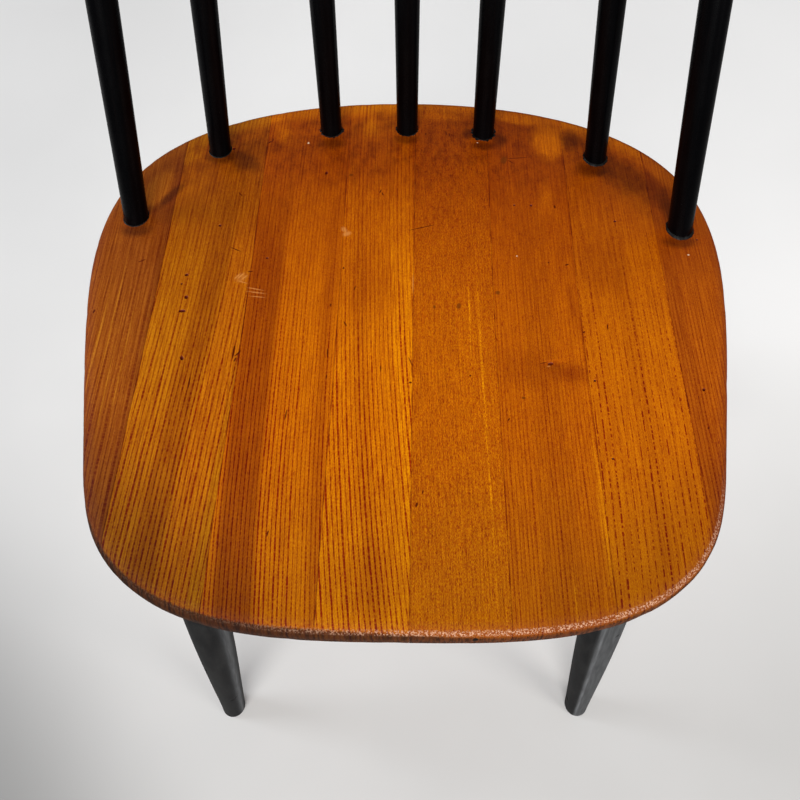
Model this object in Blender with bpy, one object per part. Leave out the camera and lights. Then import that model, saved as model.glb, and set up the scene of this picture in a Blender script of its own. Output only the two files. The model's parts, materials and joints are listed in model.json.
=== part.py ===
"""Spindle-back dining chair with a glued softwood seat and black turned spindles and legs.

Metres, +Z up. The front of the chair faces -Y. Left and right are as seen from the front, so
left is -X. The chair is modelled about the middle of its seat, and at the end it is set on the
floor with the origin under the middle of its whole box.
"""

import math

import bmesh
import bpy
from mathutils import Matrix, Vector

# Seat, seen from above: two side lines that open towards the back, with full rounded corners
SEAT_HEIGHT = 0.435
SEAT_SLOPE = math.radians(2.0)
SEAT_DEPTH = 0.4015
SIDE_LINE_HALF = 0.2081
SIDE_FLARE = math.radians(11.7)
SHOULDER_Y = -0.098
FRONT_FULLNESS = 3.2
BACK_FULLNESS_ALONG = 3.95
BACK_FULLNESS_ACROSS = 2.08
OUTLINE_POINTS = 60
OUTLINE_SAMPLES = 4096

# Seat, seen from the side
SEAT_THICKNESS = 0.021
ARRIS_RADIUS = 0.007
ARRIS_STEPS = 3
UNDER_BEVEL_WIDTH = 0.010
UNDER_BEVEL_HEIGHT = 0.0085
UNDER_BEVEL_BULGE = 0.0015
DISH_DEPTH = 0.008
DISH_SIDE_RIM = 0.018
DISH_FRONT_RIM = 0.034
DISH_BACK_RIM = 0.044
DISH_RINGS = (0.90, 0.76, 0.58, 0.37, 0.14)

# Boards of the seat: widths from left to right, fitted to the seat's own width, and the small
# turn of their glue lines from the chair's middle
BOARD_WIDTHS = (0.0488, 0.059, 0.060, 0.049, 0.053, 0.055, 0.057, 0.0418)
GLUE_GAP = 0.0003
GRAIN_TURN = math.radians(0.35)

# Back: seven spindles drilled in along the seat's edge and up into the crest rail
SPINDLE_PITCHES = (0.057, 0.084, 0.083)
SPINDLE_INSETS = (0.0313, 0.0303, 0.0279, 0.0230)
SPINDLE_SKEW = math.radians(1.1)
MIDDLE_SPINDLE_LENGTH = 0.367
BACK_LEAN = math.radians(14.0)
SPINDLE_FOOT_RADIUS = 0.0078
SPINDLE_BELLY_RADIUS = 0.0087
POST_FOOT_RADIUS = 0.0083
POST_BELLY_RADIUS = 0.0091
SPINDLE_BELLY_AT = 0.165
SPINDLE_TOP_RADIUS = 0.0055
SPINDLE_NECK = 0.006
SPINDLE_SOCKET_DEPTH = 0.014
SPINDLE_SIDES = 12
EDGE_TRACE_POINTS = 2400

# Crest rail: a bent board, its lower edge level, its upper edge a little crowned
RAIL_PITCHES = (0.053, 0.054, 0.048)
RAIL_SHIFT = -0.003
RAIL_BEND_RADIUS = 0.353
RAIL_OVERHANG = 0.031
RAIL_HEIGHT = 0.070
RAIL_CROWN = 0.010
RAIL_LOWER_THICKNESS = 0.021
RAIL_UPPER_THICKNESS = 0.015
RAIL_LOWER_CORNER = 0.0045
RAIL_UPPER_CORNER = 0.0070
RAIL_END_ROUND = 0.022
RAIL_END_ANGLES = (25, 45, 60, 72)
RAIL_SOCKET_DEPTH = 0.017
RAIL_STATIONS = 9

# Under-frame: two battens across the boards, and four legs driven up into them
UNDERFRAME_TURN = math.radians(0.84)
FRONT_BATTEN_INSET = 0.067
REAR_BATTEN_INSET = 0.066
BATTEN_WIDTH = 0.050
BATTEN_THICKNESS = 0.024
BATTEN_END = 0.0225
BATTEN_CORNER = 0.018
BATTEN_CHAMFER = 0.004
LEG_TOP_INSET = 0.0725
FRONT_LEG_SPREAD = 0.0425
FRONT_LEG_RAKE = -0.0665
REAR_LEG_SPREAD = 0.0365
REAR_LEG_RAKE = 0.097
LEG_FOOT_RADIUS = 0.0116
LEG_BELLY_RADIUS = 0.0163
LEG_BELLY_FROM_TOP = 0.120
LEG_NECK_RADIUS = 0.0115
LEG_NECK = 0.010
LEG_SOCKET_DEPTH = 0.018
LEG_SIDES = 16

# Glides nailed into the feet
GLIDE_RADIUS = 0.0105
GLIDE_THICKNESS = 0.003
GLIDE_EDGE = 0.0008
GLIDE_PIN_RADIUS = 0.0012
GLIDE_PIN_LENGTH = 0.012

# Slotted countersunk screws, up through each batten into the middle of these boards
SCREWED_BOARDS = (3, 4, 5, 6)
SCREW_HEAD_RADIUS = 0.0045
SCREW_HEAD_DEPTH = 0.0030
SCREW_HEAD_RIM = 0.0003
SCREW_SHANK_RADIUS = 0.0022
SCREW_TIP_RADIUS = 0.0010
SCREW_TIP_LENGTH = 0.004
SCREW_BITE = 0.010
SCREW_SLOT_WIDTH = 0.0010
SCREW_SLOT_DEPTH = 0.0011
SCREW_SLOT_TURN = math.radians(37)

# Fits: the gap left between pieces that touch, and how far a cutter runs out of the wood
FIT_GAP = 0.0003
CUTTER_RUN_OUT = 0.030

# Fineness of the round forms, and how quickly a turned piece swells above its foot
SMALL_SIDES = 8
CORNER_STEPS = 3
TURNED_STEPS = 5
SWELL_POWER = 1.3
SHARP_ANGLE = math.radians(35)


def clear_scene():
    """Remove the objects that the scene starts with."""
    for old in list(bpy.data.objects):
        bpy.data.objects.remove(old, do_unlink=True)


def make_material(name, colour, roughness, metallic=0.0):
    """A plain Principled material."""
    material = bpy.data.materials.new(name)
    material.use_nodes = True
    shader = material.node_tree.nodes["Principled BSDF"]
    shader.inputs["Base Color"].default_value = (*colour, 1.0)
    shader.inputs["Roughness"].default_value = roughness
    shader.inputs["Metallic"].default_value = metallic
    return material


def loft(rings):
    """A closed body through rings of points, each ring anticlockwise as seen from the last."""
    bm = bmesh.new()
    rows = [[bm.verts.new(point) for point in ring] for ring in rings]
    for lower, upper in zip(rows, rows[1:]):
        for i in range(len(lower)):
            j = (i + 1) % len(lower)
            bm.faces.new((lower[i], lower[j], upper[j], upper[i]))
    bm.faces.new(list(reversed(rows[0])))
    bm.faces.new(rows[-1])
    return bm


def turned(profile, sides):
    """A turned body from (radius, height) pairs, bottom to top."""
    angles = [2 * math.pi * i / sides for i in range(sides)]
    return loft([[Vector((radius * math.cos(a), radius * math.sin(a), height)) for a in angles]
                 for radius, height in profile])


def swelling(foot, belly, neck):
    """Profile of a turned leg or spindle through three (radius, height) pairs, fullest at the belly."""
    profile = []
    for step in range(TURNED_STEPS):
        share = step / TURNED_STEPS
        swell = math.sin(math.pi / 2 * share) ** SWELL_POWER
        profile.append((foot[0] + (belly[0] - foot[0]) * swell,
                        foot[1] + (belly[1] - foot[1]) * share))
    for step in range(TURNED_STEPS + 1):
        share = step / TURNED_STEPS
        swell = math.cos(math.pi / 2 * share)
        profile.append((neck[0] + (belly[0] - neck[0]) * swell,
                        belly[1] + (neck[1] - belly[1]) * share))
    return profile


def corner_angles(start):
    """The angles of a quarter round that starts at this many degrees."""
    return [math.radians(start + 90 * step / CORNER_STEPS) for step in range(CORNER_STEPS + 1)]


def add_object(name, bm, matrix, material=None):
    """Turn a bmesh into an object that hangs on the chair's empty."""
    bmesh.ops.recalc_face_normals(bm, faces=bm.faces)
    mesh = bpy.data.meshes.new(name)
    bm.to_mesh(mesh)
    bm.free()
    mesh.shade_smooth()
    mesh.set_sharp_from_angle(angle=SHARP_ANGLE)
    obj = bpy.data.objects.new(name, mesh)
    obj.parent = chair
    obj.matrix_basis = matrix
    if material:
        mesh.materials.append(material)
        bpy.context.scene.collection.objects.link(obj)
    return obj


def add_cutter(name, bm, matrix, collection):
    """A guide object that Boolean modifiers take away from the wood."""
    obj = add_object(name, bm, matrix)
    obj.hide_render = True
    obj.display_type = 'WIRE'
    collection.objects.link(obj)
    return obj


def new_collection(name):
    collection = bpy.data.collections.new(name)
    bpy.context.scene.collection.children.link(collection)
    return collection


def cut_holes(obj, collection):
    """Cut a collection of cutters out of an object, with the exact solver."""
    holes = obj.modifiers.new("holes", 'BOOLEAN')
    holes.operation = 'DIFFERENCE'
    holes.solver = 'EXACT'
    holes.operand_type = 'COLLECTION'
    holes.collection = collection


def keep_side(bm, point, normal):
    """Saw a closed body along a plane, drop what lies on the normal's side and close the cut."""
    geometry = bm.verts[:] + bm.edges[:] + bm.faces[:]
    bmesh.ops.bisect_plane(bm, geom=geometry, dist=1e-7, plane_co=point, plane_no=normal,
                           clear_outer=True)
    open_edges = [edge for edge in bm.edges if edge.is_boundary]
    if open_edges:
        bmesh.ops.contextual_create(bm, geom=open_edges)


def aimed(origin, target):
    """A matrix at the origin whose +Z points at the target."""
    turn = (target - origin).to_track_quat('Z', 'Y').to_matrix().to_4x4()
    return Matrix.Translation(origin) @ turn


# The seat


def outline_point(angle):
    """A point of the seat's edge. Angle 0 is the right side, and pi / 2 the middle of the back."""
    along, across = math.sin(angle), math.cos(angle)
    if along >= 0:
        reach = SEAT_DEPTH / 2 - SHOULDER_Y
        fullness_y, fullness_x = BACK_FULLNESS_ALONG, BACK_FULLNESS_ACROSS
    else:
        reach = SEAT_DEPTH / 2 + SHOULDER_Y
        fullness_y, fullness_x = FRONT_FULLNESS, FRONT_FULLNESS
    y = SHOULDER_Y + reach * math.copysign(abs(along) ** (2 / fullness_y), along)
    half_width = SIDE_LINE_HALF + y * math.tan(SIDE_FLARE)
    return Vector((half_width * math.copysign(abs(across) ** (2 / fullness_x), across), y))


def even_outline(count):
    """The seat's edge as evenly spaced points, each with its outward direction."""
    dense = [outline_point(2 * math.pi * i / OUTLINE_SAMPLES) for i in range(OUTLINE_SAMPLES + 1)]
    travelled = [0.0]
    for before, after in zip(dense, dense[1:]):
        travelled.append(travelled[-1] + (after - before).length)
    points = []
    at = 0
    for i in range(count):
        wanted = travelled[-1] * i / count
        while travelled[at + 1] < wanted:
            at += 1
        share = (wanted - travelled[at]) / (travelled[at + 1] - travelled[at])
        points.append(dense[at].lerp(dense[at + 1], share))
    outward = []
    for i in range(count):
        run = points[(i + 1) % count] - points[i - 1]
        outward.append(Vector((run.y, -run.x)).normalized())
    return list(zip(points, outward))


def seat_half_width():
    return max(point.x for point, _ in even_outline(OUTLINE_POINTS))


def board_edges():
    """The long edges of the boards from left to right, fitted to the seat's width."""
    half_width = seat_half_width()
    fitted = 2 * half_width / sum(BOARD_WIDTHS)
    return [sum(BOARD_WIDTHS[:i]) * fitted - half_width for i in range(len(BOARD_WIDTHS) + 1)]


def dish(x, y, half_width):
    """Height of the saddled top, zero around the rim and lowest in the middle."""
    front = -SEAT_DEPTH / 2 + DISH_FRONT_RIM
    back = SEAT_DEPTH / 2 - DISH_BACK_RIM
    across = x / (half_width - DISH_SIDE_RIM)
    along = (y - (front + back) / 2) / ((back - front) / 2)
    inside = max(0.0, 1.0 - across ** 2 - along ** 2)
    return -DISH_DEPTH * inside ** 2


def seat_blank():
    """The whole seat before it is parted into boards, its rim's top face at height zero."""
    edge = even_outline(OUTLINE_POINTS)
    half_width = seat_half_width()
    profile = [(UNDER_BEVEL_WIDTH, -SEAT_THICKNESS),
               (UNDER_BEVEL_WIDTH / 2 - UNDER_BEVEL_BULGE, -SEAT_THICKNESS + UNDER_BEVEL_HEIGHT / 2),
               (0.0, -SEAT_THICKNESS + UNDER_BEVEL_HEIGHT)]
    for step in range(ARRIS_STEPS + 1):
        angle = math.pi / 2 * step / ARRIS_STEPS
        profile.append((ARRIS_RADIUS * (1 - math.cos(angle)), ARRIS_RADIUS * (math.sin(angle) - 1)))
    rings = []
    for inset, height in profile:
        rings.append([(*(point - outward * inset), height) for point, outward in edge])
    rim = [point - outward * ARRIS_RADIUS for point, outward in edge]
    for share in DISH_RINGS:
        rings.append([(p.x * share, p.y * share, dish(p.x * share, p.y * share, half_width))
                      for p in rim])
    return loft(rings)


def build_seat(seat_frame, wood_tones, holes):
    """Part the blank along its glue lines into boards."""
    lines = board_edges()[1:-1]
    right_way = Vector((math.cos(GRAIN_TURN), -math.sin(GRAIN_TURN), 0.0))
    for number in range(len(lines) + 1):
        bm = seat_blank()
        if number > 0:
            left_cut = Vector((lines[number - 1] + GLUE_GAP / 2, 0.0, 0.0))
            keep_side(bm, left_cut, -right_way)
        if number < len(lines):
            right_cut = Vector((lines[number] - GLUE_GAP / 2, 0.0, 0.0))
            keep_side(bm, right_cut, right_way)
        board = add_object(f"seat_board_{number + 1}", bm, seat_frame,
                           wood_tones[number % len(wood_tones)])
        cut_holes(board, holes)


# The back


def spindle_feet():
    """Where the seven spindles enter the seat, left to right, in the seat's own plane."""
    edge = [(point, outward) for point, outward in even_outline(EDGE_TRACE_POINTS)
            if point.x >= 0 and point.y > SHOULDER_Y]
    back_middle = Vector((0.0, SEAT_DEPTH / 2))
    feet = [back_middle - Vector((0.0, SPINDLE_INSETS[0]))]
    for pitch, inset in zip(SPINDLE_PITCHES, SPINDLE_INSETS[1:]):
        line = [point - outward * inset for point, outward in edge]
        line = [point for point in line if point.x > feet[-1].x]
        feet.append(min(line, key=lambda point: abs((point - feet[-1]).length - pitch)))
    both = [Vector((-foot.x, foot.y)) for foot in feet[:0:-1]] + feet
    return [Vector((foot.x, foot.y - foot.x * math.tan(SPINDLE_SKEW), 0.0)) for foot in both]


def rail_point(arc, forward=0.0, height=0.0):
    """A point of the rail in its own frame, at a length along its bend."""
    angle = arc / RAIL_BEND_RADIUS
    radius = RAIL_BEND_RADIUS - forward
    return Vector((radius * math.sin(angle), radius * math.cos(angle) - RAIL_BEND_RADIUS, height))


def rail_section(arc, shrink):
    """One section of the rail: a rounded board, thinner and a little lower towards its ends."""
    half_length = sum(RAIL_PITCHES) + RAIL_OVERHANG
    height = RAIL_HEIGHT - RAIL_CROWN * (arc / half_length) ** 2
    lower, upper = RAIL_LOWER_THICKNESS / 2, RAIL_UPPER_THICKNESS / 2
    corners = ((lower, 0.0, RAIL_LOWER_CORNER, -90), (upper, height, RAIL_UPPER_CORNER, 0),
               (-upper, height, RAIL_UPPER_CORNER, 90), (-lower, 0.0, RAIL_LOWER_CORNER, 180))
    ring = []
    for forward, level, radius, start in corners:
        middle_forward = forward - math.copysign(radius, forward)
        middle_level = level + (radius if level == 0.0 else -radius)
        for angle in corner_angles(start):
            across = middle_forward + radius * math.cos(angle)
            up = middle_level + radius * math.sin(angle)
            up = height / 2 + (up - height / 2) * shrink
            ring.append(rail_point(arc, across * (1 + shrink) / 2, up))
    return ring


def build_rail(rail_frame, paint, holes):
    """The crest rail, swept along its bend and rounded at both ends."""
    half_length = sum(RAIL_PITCHES) + RAIL_OVERHANG
    straight = half_length - RAIL_END_ROUND
    right_end = [(straight + RAIL_END_ROUND * math.sin(math.radians(a)), math.cos(math.radians(a)))
                 for a in RAIL_END_ANGLES]
    left_end = [(-arc, shrink) for arc, shrink in reversed(right_end)]
    middle = [(straight * (2 * i / RAIL_STATIONS - 1), 1.0) for i in range(RAIL_STATIONS + 1)]
    stations = left_end + middle + right_end
    rail = add_object("crest_rail", loft([rail_section(*station) for station in stations]),
                      rail_frame, paint)
    cut_holes(rail, holes)


def spindle_profile(length, foot_radius, belly_radius):
    """Radius against height: fullest at the belly, its ends in the seat's and rail's sockets."""
    swollen = swelling((foot_radius, 0.0), (belly_radius, SPINDLE_BELLY_AT),
                       (SPINDLE_TOP_RADIUS, length - SPINDLE_NECK))
    return [(foot_radius, FIT_GAP - SPINDLE_SOCKET_DEPTH), *swollen,
            (SPINDLE_TOP_RADIUS, length + RAIL_SOCKET_DEPTH - FIT_GAP)]


def build_back(seat_frame, paint, seat_holes, rail_holes):
    """The crest rail and the seven spindles between it and the seat."""
    feet = [seat_frame @ foot for foot in spindle_feet()]
    middle = len(feet) // 2
    up_the_back = Vector((0.0, math.sin(BACK_LEAN), math.cos(BACK_LEAN)))
    rail_shift = Vector((RAIL_SHIFT, 0.0, 0.0))
    rail_origin = feet[middle] + up_the_back * MIDDLE_SPINDLE_LENGTH + rail_shift
    rail_frame = Matrix.Translation(rail_origin) @ Matrix.Rotation(-BACK_LEAN, 4, 'X')
    arcs = [sum(RAIL_PITCHES[:i]) for i in range(len(RAIL_PITCHES) + 1)]
    arcs = [-arc for arc in arcs[:0:-1]] + arcs
    names = ["back_post_left"] + [f"spindle_{i}" for i in range(1, len(feet) - 1)]
    names.append("back_post_right")
    for name, foot, arc in zip(names, feet, arcs):
        top = rail_frame @ rail_point(arc)
        length = (top - foot).length
        is_post = name.startswith("back_post")
        foot_radius = POST_FOOT_RADIUS if is_post else SPINDLE_FOOT_RADIUS
        belly_radius = POST_BELLY_RADIUS if is_post else SPINDLE_BELLY_RADIUS
        axis = aimed(foot, top)
        profile = spindle_profile(length, foot_radius, belly_radius)
        add_object(name, turned(profile, SPINDLE_SIDES), axis, paint)
        seat_hole = [(foot_radius + FIT_GAP, -SPINDLE_SOCKET_DEPTH),
                     (foot_radius + FIT_GAP, CUTTER_RUN_OUT)]
        add_cutter(f"seat_hole_{name}", turned(seat_hole, SPINDLE_SIDES), axis, seat_holes)
        rail_hole = [(SPINDLE_TOP_RADIUS + FIT_GAP, length - CUTTER_RUN_OUT),
                     (SPINDLE_TOP_RADIUS + FIT_GAP, length + RAIL_SOCKET_DEPTH)]
        add_cutter(f"rail_hole_{name}", turned(rail_hole, SPINDLE_SIDES), axis, rail_holes)
    build_rail(rail_frame, paint, rail_holes)


# The under-frame


def screw_profile(extra):
    """A countersunk screw as (radius, height) pairs, head down, grown by a clearance."""
    length = BATTEN_THICKNESS + FIT_GAP + SCREW_BITE
    return [(SCREW_HEAD_RADIUS + extra, -CUTTER_RUN_OUT if extra else 0.0),
            (SCREW_HEAD_RADIUS + extra, SCREW_HEAD_RIM + extra),
            (SCREW_SHANK_RADIUS + extra, SCREW_HEAD_DEPTH + extra),
            (SCREW_SHANK_RADIUS + extra, length - SCREW_TIP_LENGTH),
            (SCREW_TIP_RADIUS + extra, length + extra)]


def build_batten(name, frame, half_length, paint, holes):
    """A batten with rounded plan corners and a chamfer round its lower face."""
    half_width = BATTEN_WIDTH / 2
    corners = ((half_length, -half_width, -90), (half_length, half_width, 0),
               (-half_length, half_width, 90), (-half_length, -half_width, 180))

    def plan(inset, height):
        ring = []
        for x, y, start in corners:
            middle = Vector((x - math.copysign(BATTEN_CORNER, x),
                             y - math.copysign(BATTEN_CORNER, y)))
            reach = BATTEN_CORNER - inset
            for angle in corner_angles(start):
                ring.append((middle.x + reach * math.cos(angle),
                             middle.y + reach * math.sin(angle), height))
        return ring

    rings = [plan(BATTEN_CHAMFER, 0.0), plan(0.0, BATTEN_CHAMFER), plan(0.0, BATTEN_THICKNESS)]
    batten = add_object(name, loft(rings), frame, paint)
    cut_holes(batten, holes)


def build_screws(name, frame, steel, batten_holes, seat_holes):
    """A slotted screw for each board between the legs, its head flush with the batten's lower face."""
    edges = board_edges()
    for number, board in enumerate(SCREWED_BOARDS, start=1):
        middle_of_board = (edges[board - 1] + edges[board]) / 2
        place = frame @ Matrix.Translation((middle_of_board, 0.0, 0.0))
        screw = add_object(f"{name}_{number}", turned(screw_profile(0.0), SMALL_SIDES), place, steel)
        hole = turned(screw_profile(FIT_GAP), SMALL_SIDES)
        cutter = add_cutter(f"{name}_hole_{number}", hole, place, batten_holes)
        seat_holes.objects.link(cutter)
        slot = bmesh.new()
        size = (4 * SCREW_HEAD_RADIUS, SCREW_SLOT_WIDTH, 2 * SCREW_SLOT_DEPTH)
        bmesh.ops.create_cube(slot, size=1.0, matrix=Matrix.Diagonal((*size, 1.0)))
        turn = place @ Matrix.Rotation(SCREW_SLOT_TURN * number, 4, 'Z')
        slots = new_collection(f"{name}_slot_{number}")
        add_cutter(f"{name}_slot_cutter_{number}", slot, turn, slots)
        cut_holes(screw, slots)


def leg_profile(length):
    """Radius against height: slim at the floor, fullest at the belly, slim again in the batten."""
    swollen = swelling((LEG_FOOT_RADIUS, 0.0), (LEG_BELLY_RADIUS, length - LEG_BELLY_FROM_TOP),
                       (LEG_NECK_RADIUS, length - LEG_NECK))
    return [(LEG_FOOT_RADIUS, -GLIDE_RADIUS), *swollen,
            (LEG_NECK_RADIUS, length + LEG_SOCKET_DEPTH - FIT_GAP)]


def build_leg(name, foot, shoulder, paint, steel, batten_holes):
    """One leg, sawn level at its foot over its glide, and driven up into the batten."""
    axis = aimed(foot, shoulder)
    length = (shoulder - foot).length
    bm = turned(leg_profile(length), LEG_SIDES)
    to_leg = axis.inverted()
    sole_height = GLIDE_THICKNESS + FIT_GAP
    on_axis = foot + (shoulder - foot) * (sole_height / shoulder.z)
    keep_side(bm, to_leg @ on_axis, to_leg.to_3x3() @ Vector((0.0, 0.0, -1.0)))
    leg = add_object(f"{name}_leg", bm, axis, paint)
    socket = [(LEG_NECK_RADIUS + FIT_GAP, length - CUTTER_RUN_OUT),
              (LEG_NECK_RADIUS + FIT_GAP, length + LEG_SOCKET_DEPTH)]
    add_cutter(f"{name}_leg_socket", turned(socket, LEG_SIDES), axis, batten_holes)

    under_leg = Matrix.Translation((on_axis.x, on_axis.y, 0.0))
    pin_top = GLIDE_THICKNESS + GLIDE_PIN_LENGTH
    glide = [(GLIDE_RADIUS - GLIDE_EDGE, 0.0), (GLIDE_RADIUS, GLIDE_EDGE),
             (GLIDE_RADIUS, GLIDE_THICKNESS), (GLIDE_PIN_RADIUS, GLIDE_THICKNESS),
             (GLIDE_PIN_RADIUS, pin_top)]
    add_object(f"{name}_glide", turned(glide, LEG_SIDES), under_leg, steel)
    pin_holes = new_collection(f"{name}_pin_hole")
    pin_hole = [(GLIDE_PIN_RADIUS + FIT_GAP, 0.0), (GLIDE_PIN_RADIUS + FIT_GAP, pin_top + FIT_GAP)]
    add_cutter(f"{name}_pin_cutter", turned(pin_hole, LEG_SIDES), under_leg, pin_holes)
    cut_holes(leg, pin_holes)


def build_underframe(seat_frame, paint, steel, seat_holes):
    """Both battens with their screws, and the four legs with their glides."""
    turn = Matrix.Rotation(UNDERFRAME_TURN, 4, 'Z')
    under_seat = -SEAT_THICKNESS - FIT_GAP - BATTEN_THICKNESS
    leg_top_x = SIDE_LINE_HALF - LEG_TOP_INSET
    ends = (("front", FRONT_BATTEN_INSET - SEAT_DEPTH / 2, FRONT_LEG_SPREAD, FRONT_LEG_RAKE),
            ("rear", SEAT_DEPTH / 2 - REAR_BATTEN_INSET, REAR_LEG_SPREAD, REAR_LEG_RAKE))
    for end, batten_y, spread, rake in ends:
        frame = seat_frame @ turn @ Matrix.Translation((0.0, batten_y, under_seat))
        holes = new_collection(f"{end}_batten_holes")
        build_screws(f"{end}_batten_screw", frame, steel, holes, seat_holes)
        for side, sign in (("left", -1), ("right", 1)):
            foot = turn @ Vector((sign * (leg_top_x + spread), batten_y + rake, 0.0))
            shoulder = frame @ Vector((sign * leg_top_x, 0.0, 0.0))
            build_leg(f"{end}_{side}", foot, shoulder, paint, steel, holes)
        build_batten(f"{end}_batten", frame, leg_top_x + BATTEN_END, paint, holes)


def stand_on_origin():
    """Move the chair so that the origin is under the middle of its box, on the floor."""
    bpy.context.view_layer.update()
    corners = [obj.matrix_world @ Vector(corner) for obj in bpy.context.scene.objects
               if obj.type == 'MESH' and not obj.hide_render for corner in obj.bound_box]
    middle_x = (min(c.x for c in corners) + max(c.x for c in corners)) / 2
    middle_y = (min(c.y for c in corners) + max(c.y for c in corners)) / 2
    chair.location = (-middle_x, -middle_y, 0.0)


clear_scene()
chair = bpy.data.objects.new("chair", None)
bpy.context.scene.collection.objects.link(chair)

wood_tones = [make_material("seat_wood_brown", (0.30, 0.105, 0.018), 0.38),
              make_material("seat_wood_ochre", (0.44, 0.19, 0.03), 0.38),
              make_material("seat_wood_orange", (0.50, 0.19, 0.022), 0.38)]
black_paint = make_material("black_paint", (0.012, 0.012, 0.013), 0.32)
steel = make_material("dull_steel", (0.30, 0.29, 0.28), 0.45, 1.0)

seat_plane = Matrix.Translation((0.0, 0.0, SEAT_HEIGHT)) @ Matrix.Rotation(-SEAT_SLOPE, 4, 'X')
seat_cutters = new_collection("seat_holes")
rail_cutters = new_collection("rail_holes")
build_back(seat_plane, black_paint, seat_cutters, rail_cutters)
build_underframe(seat_plane, black_paint, steel, seat_cutters)
build_seat(seat_plane, wood_tones, seat_cutters)
stand_on_origin()
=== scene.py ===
# %% [markdown]
# A used dining chair, dressed for the camera. The frame already holds every solid of the chair at
# its real size: eight seat boards, seven turned spindles, a bent crest rail, two battens, four legs,
# screws and glides. This lesson gives each of them the surface that years of use have left.
# The frame is loaded first and never moved. Everything here is in metres, in the frame's own axes.

import json
import math

import bmesh
import bpy
import numpy as np
from mathutils import Matrix, Vector, noise

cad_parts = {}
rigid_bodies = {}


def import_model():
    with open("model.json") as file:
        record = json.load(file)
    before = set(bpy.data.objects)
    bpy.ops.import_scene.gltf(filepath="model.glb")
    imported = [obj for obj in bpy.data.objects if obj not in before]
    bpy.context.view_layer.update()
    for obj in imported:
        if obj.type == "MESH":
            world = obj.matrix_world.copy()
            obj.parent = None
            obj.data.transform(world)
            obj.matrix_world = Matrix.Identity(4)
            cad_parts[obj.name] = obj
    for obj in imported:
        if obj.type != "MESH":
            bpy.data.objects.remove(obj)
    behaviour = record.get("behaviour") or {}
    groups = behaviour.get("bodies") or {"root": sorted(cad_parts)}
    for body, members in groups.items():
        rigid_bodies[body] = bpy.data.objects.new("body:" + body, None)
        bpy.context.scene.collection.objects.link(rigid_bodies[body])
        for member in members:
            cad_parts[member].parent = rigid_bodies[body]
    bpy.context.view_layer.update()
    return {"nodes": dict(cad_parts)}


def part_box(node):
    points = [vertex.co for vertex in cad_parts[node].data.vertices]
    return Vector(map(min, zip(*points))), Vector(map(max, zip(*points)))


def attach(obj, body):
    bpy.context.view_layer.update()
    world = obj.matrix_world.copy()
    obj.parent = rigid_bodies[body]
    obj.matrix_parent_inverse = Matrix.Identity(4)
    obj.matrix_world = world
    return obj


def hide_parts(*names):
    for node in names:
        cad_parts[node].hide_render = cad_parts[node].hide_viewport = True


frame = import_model()
solids = frame["nodes"]

# %% [markdown]
# The camera stands over the front edge of the seat and looks down at it, as someone about to sit
# would. It is made before anything else, so that every later step can be judged through it.
# A camera looks along its own -Z, so it is first tipped up from straight down, then turned.

# %% Stand the camera over the front edge
CAMERA_PLACE = Vector((0.0009, -0.2906, 0.8342))
CAMERA_DOWN = math.radians(63.443)
CAMERA_TURN = math.radians(1.013)
CAMERA_ROLL = math.radians(-0.350)
CAMERA_LENS = 33.3

camera_data = bpy.data.cameras.new("over_the_front_edge")
camera_data.lens = CAMERA_LENS
camera_data.sensor_width = 36.0
camera = bpy.data.objects.new("over_the_front_edge", camera_data)
bpy.context.scene.collection.objects.link(camera)
camera.matrix_world = (Matrix.Translation(CAMERA_PLACE) @ Matrix.Rotation(CAMERA_TURN, 4, 'Z')
                       @ Matrix.Rotation(math.pi / 2 - CAMERA_DOWN, 4, 'X')
                       @ Matrix.Rotation(CAMERA_ROLL, 4, 'Z'))
camera_data.clip_start = 0.05
bpy.context.scene.camera = camera
print("camera at", [round(x, 3) for x in CAMERA_PLACE])

# %% [markdown]
# Soft daylight comes from wide lamps. A wide lamp makes a broad, gentle highlight on turned wood,
# and a small one makes a hard dot. The wood is an oiled orange that a white reflection would wash
# out, so no lamp stands where the seat would mirror it to the camera. The world is a dim grey for
# the light, and the pale surround that the camera sees is only seen, and lights nothing.

# %% Light the room
bpy.context.scene.view_settings.view_transform = 'Standard'


def aimed(place, target):
    """A matrix at the place whose +Z points at the target."""
    turn = (target - place).to_track_quat('Z', 'Y').to_matrix().to_4x4()
    return Matrix.Translation(place) @ turn


def soft_lamp(name, place, target, size, watts, colour):
    """A wide square lamp that faces the target."""
    lamp = bpy.data.lights.new(name, 'AREA')
    lamp.shape = 'RECTANGLE'
    lamp.size, lamp.size_y = size
    lamp.energy = watts
    lamp.color = colour
    obj = bpy.data.objects.new(name, lamp)
    bpy.context.scene.collection.objects.link(obj)
    obj.matrix_world = aimed(Vector(place), Vector(target)) @ Matrix.Rotation(math.pi, 4, 'X')
    return obj


SEAT_MIDDLE = (0.0, -0.03, 0.43)
soft_lamp("window_behind_camera", (-0.5, -2.3, 2.1), SEAT_MIDDLE, (2.2, 1.6), 84.0, (1.0, 0.99, 0.97))
soft_lamp("window_left", (-2.6, 0.3, 1.7), SEAT_MIDDLE, (1.0, 1.8), 36.0, (0.90, 0.95, 1.0))
soft_lamp("lamp_right", (1.7, -1.2, 1.5), (0.1, -0.25, 0.1), (0.8, 0.8), 17.0, (1.0, 0.98, 0.95))

# %% [markdown]
# A node tree can be written down like a recipe, one step a line. This small helper adds a node,
# feeds its sockets and gives back its output, so that a material below reads from top to bottom.


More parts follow.
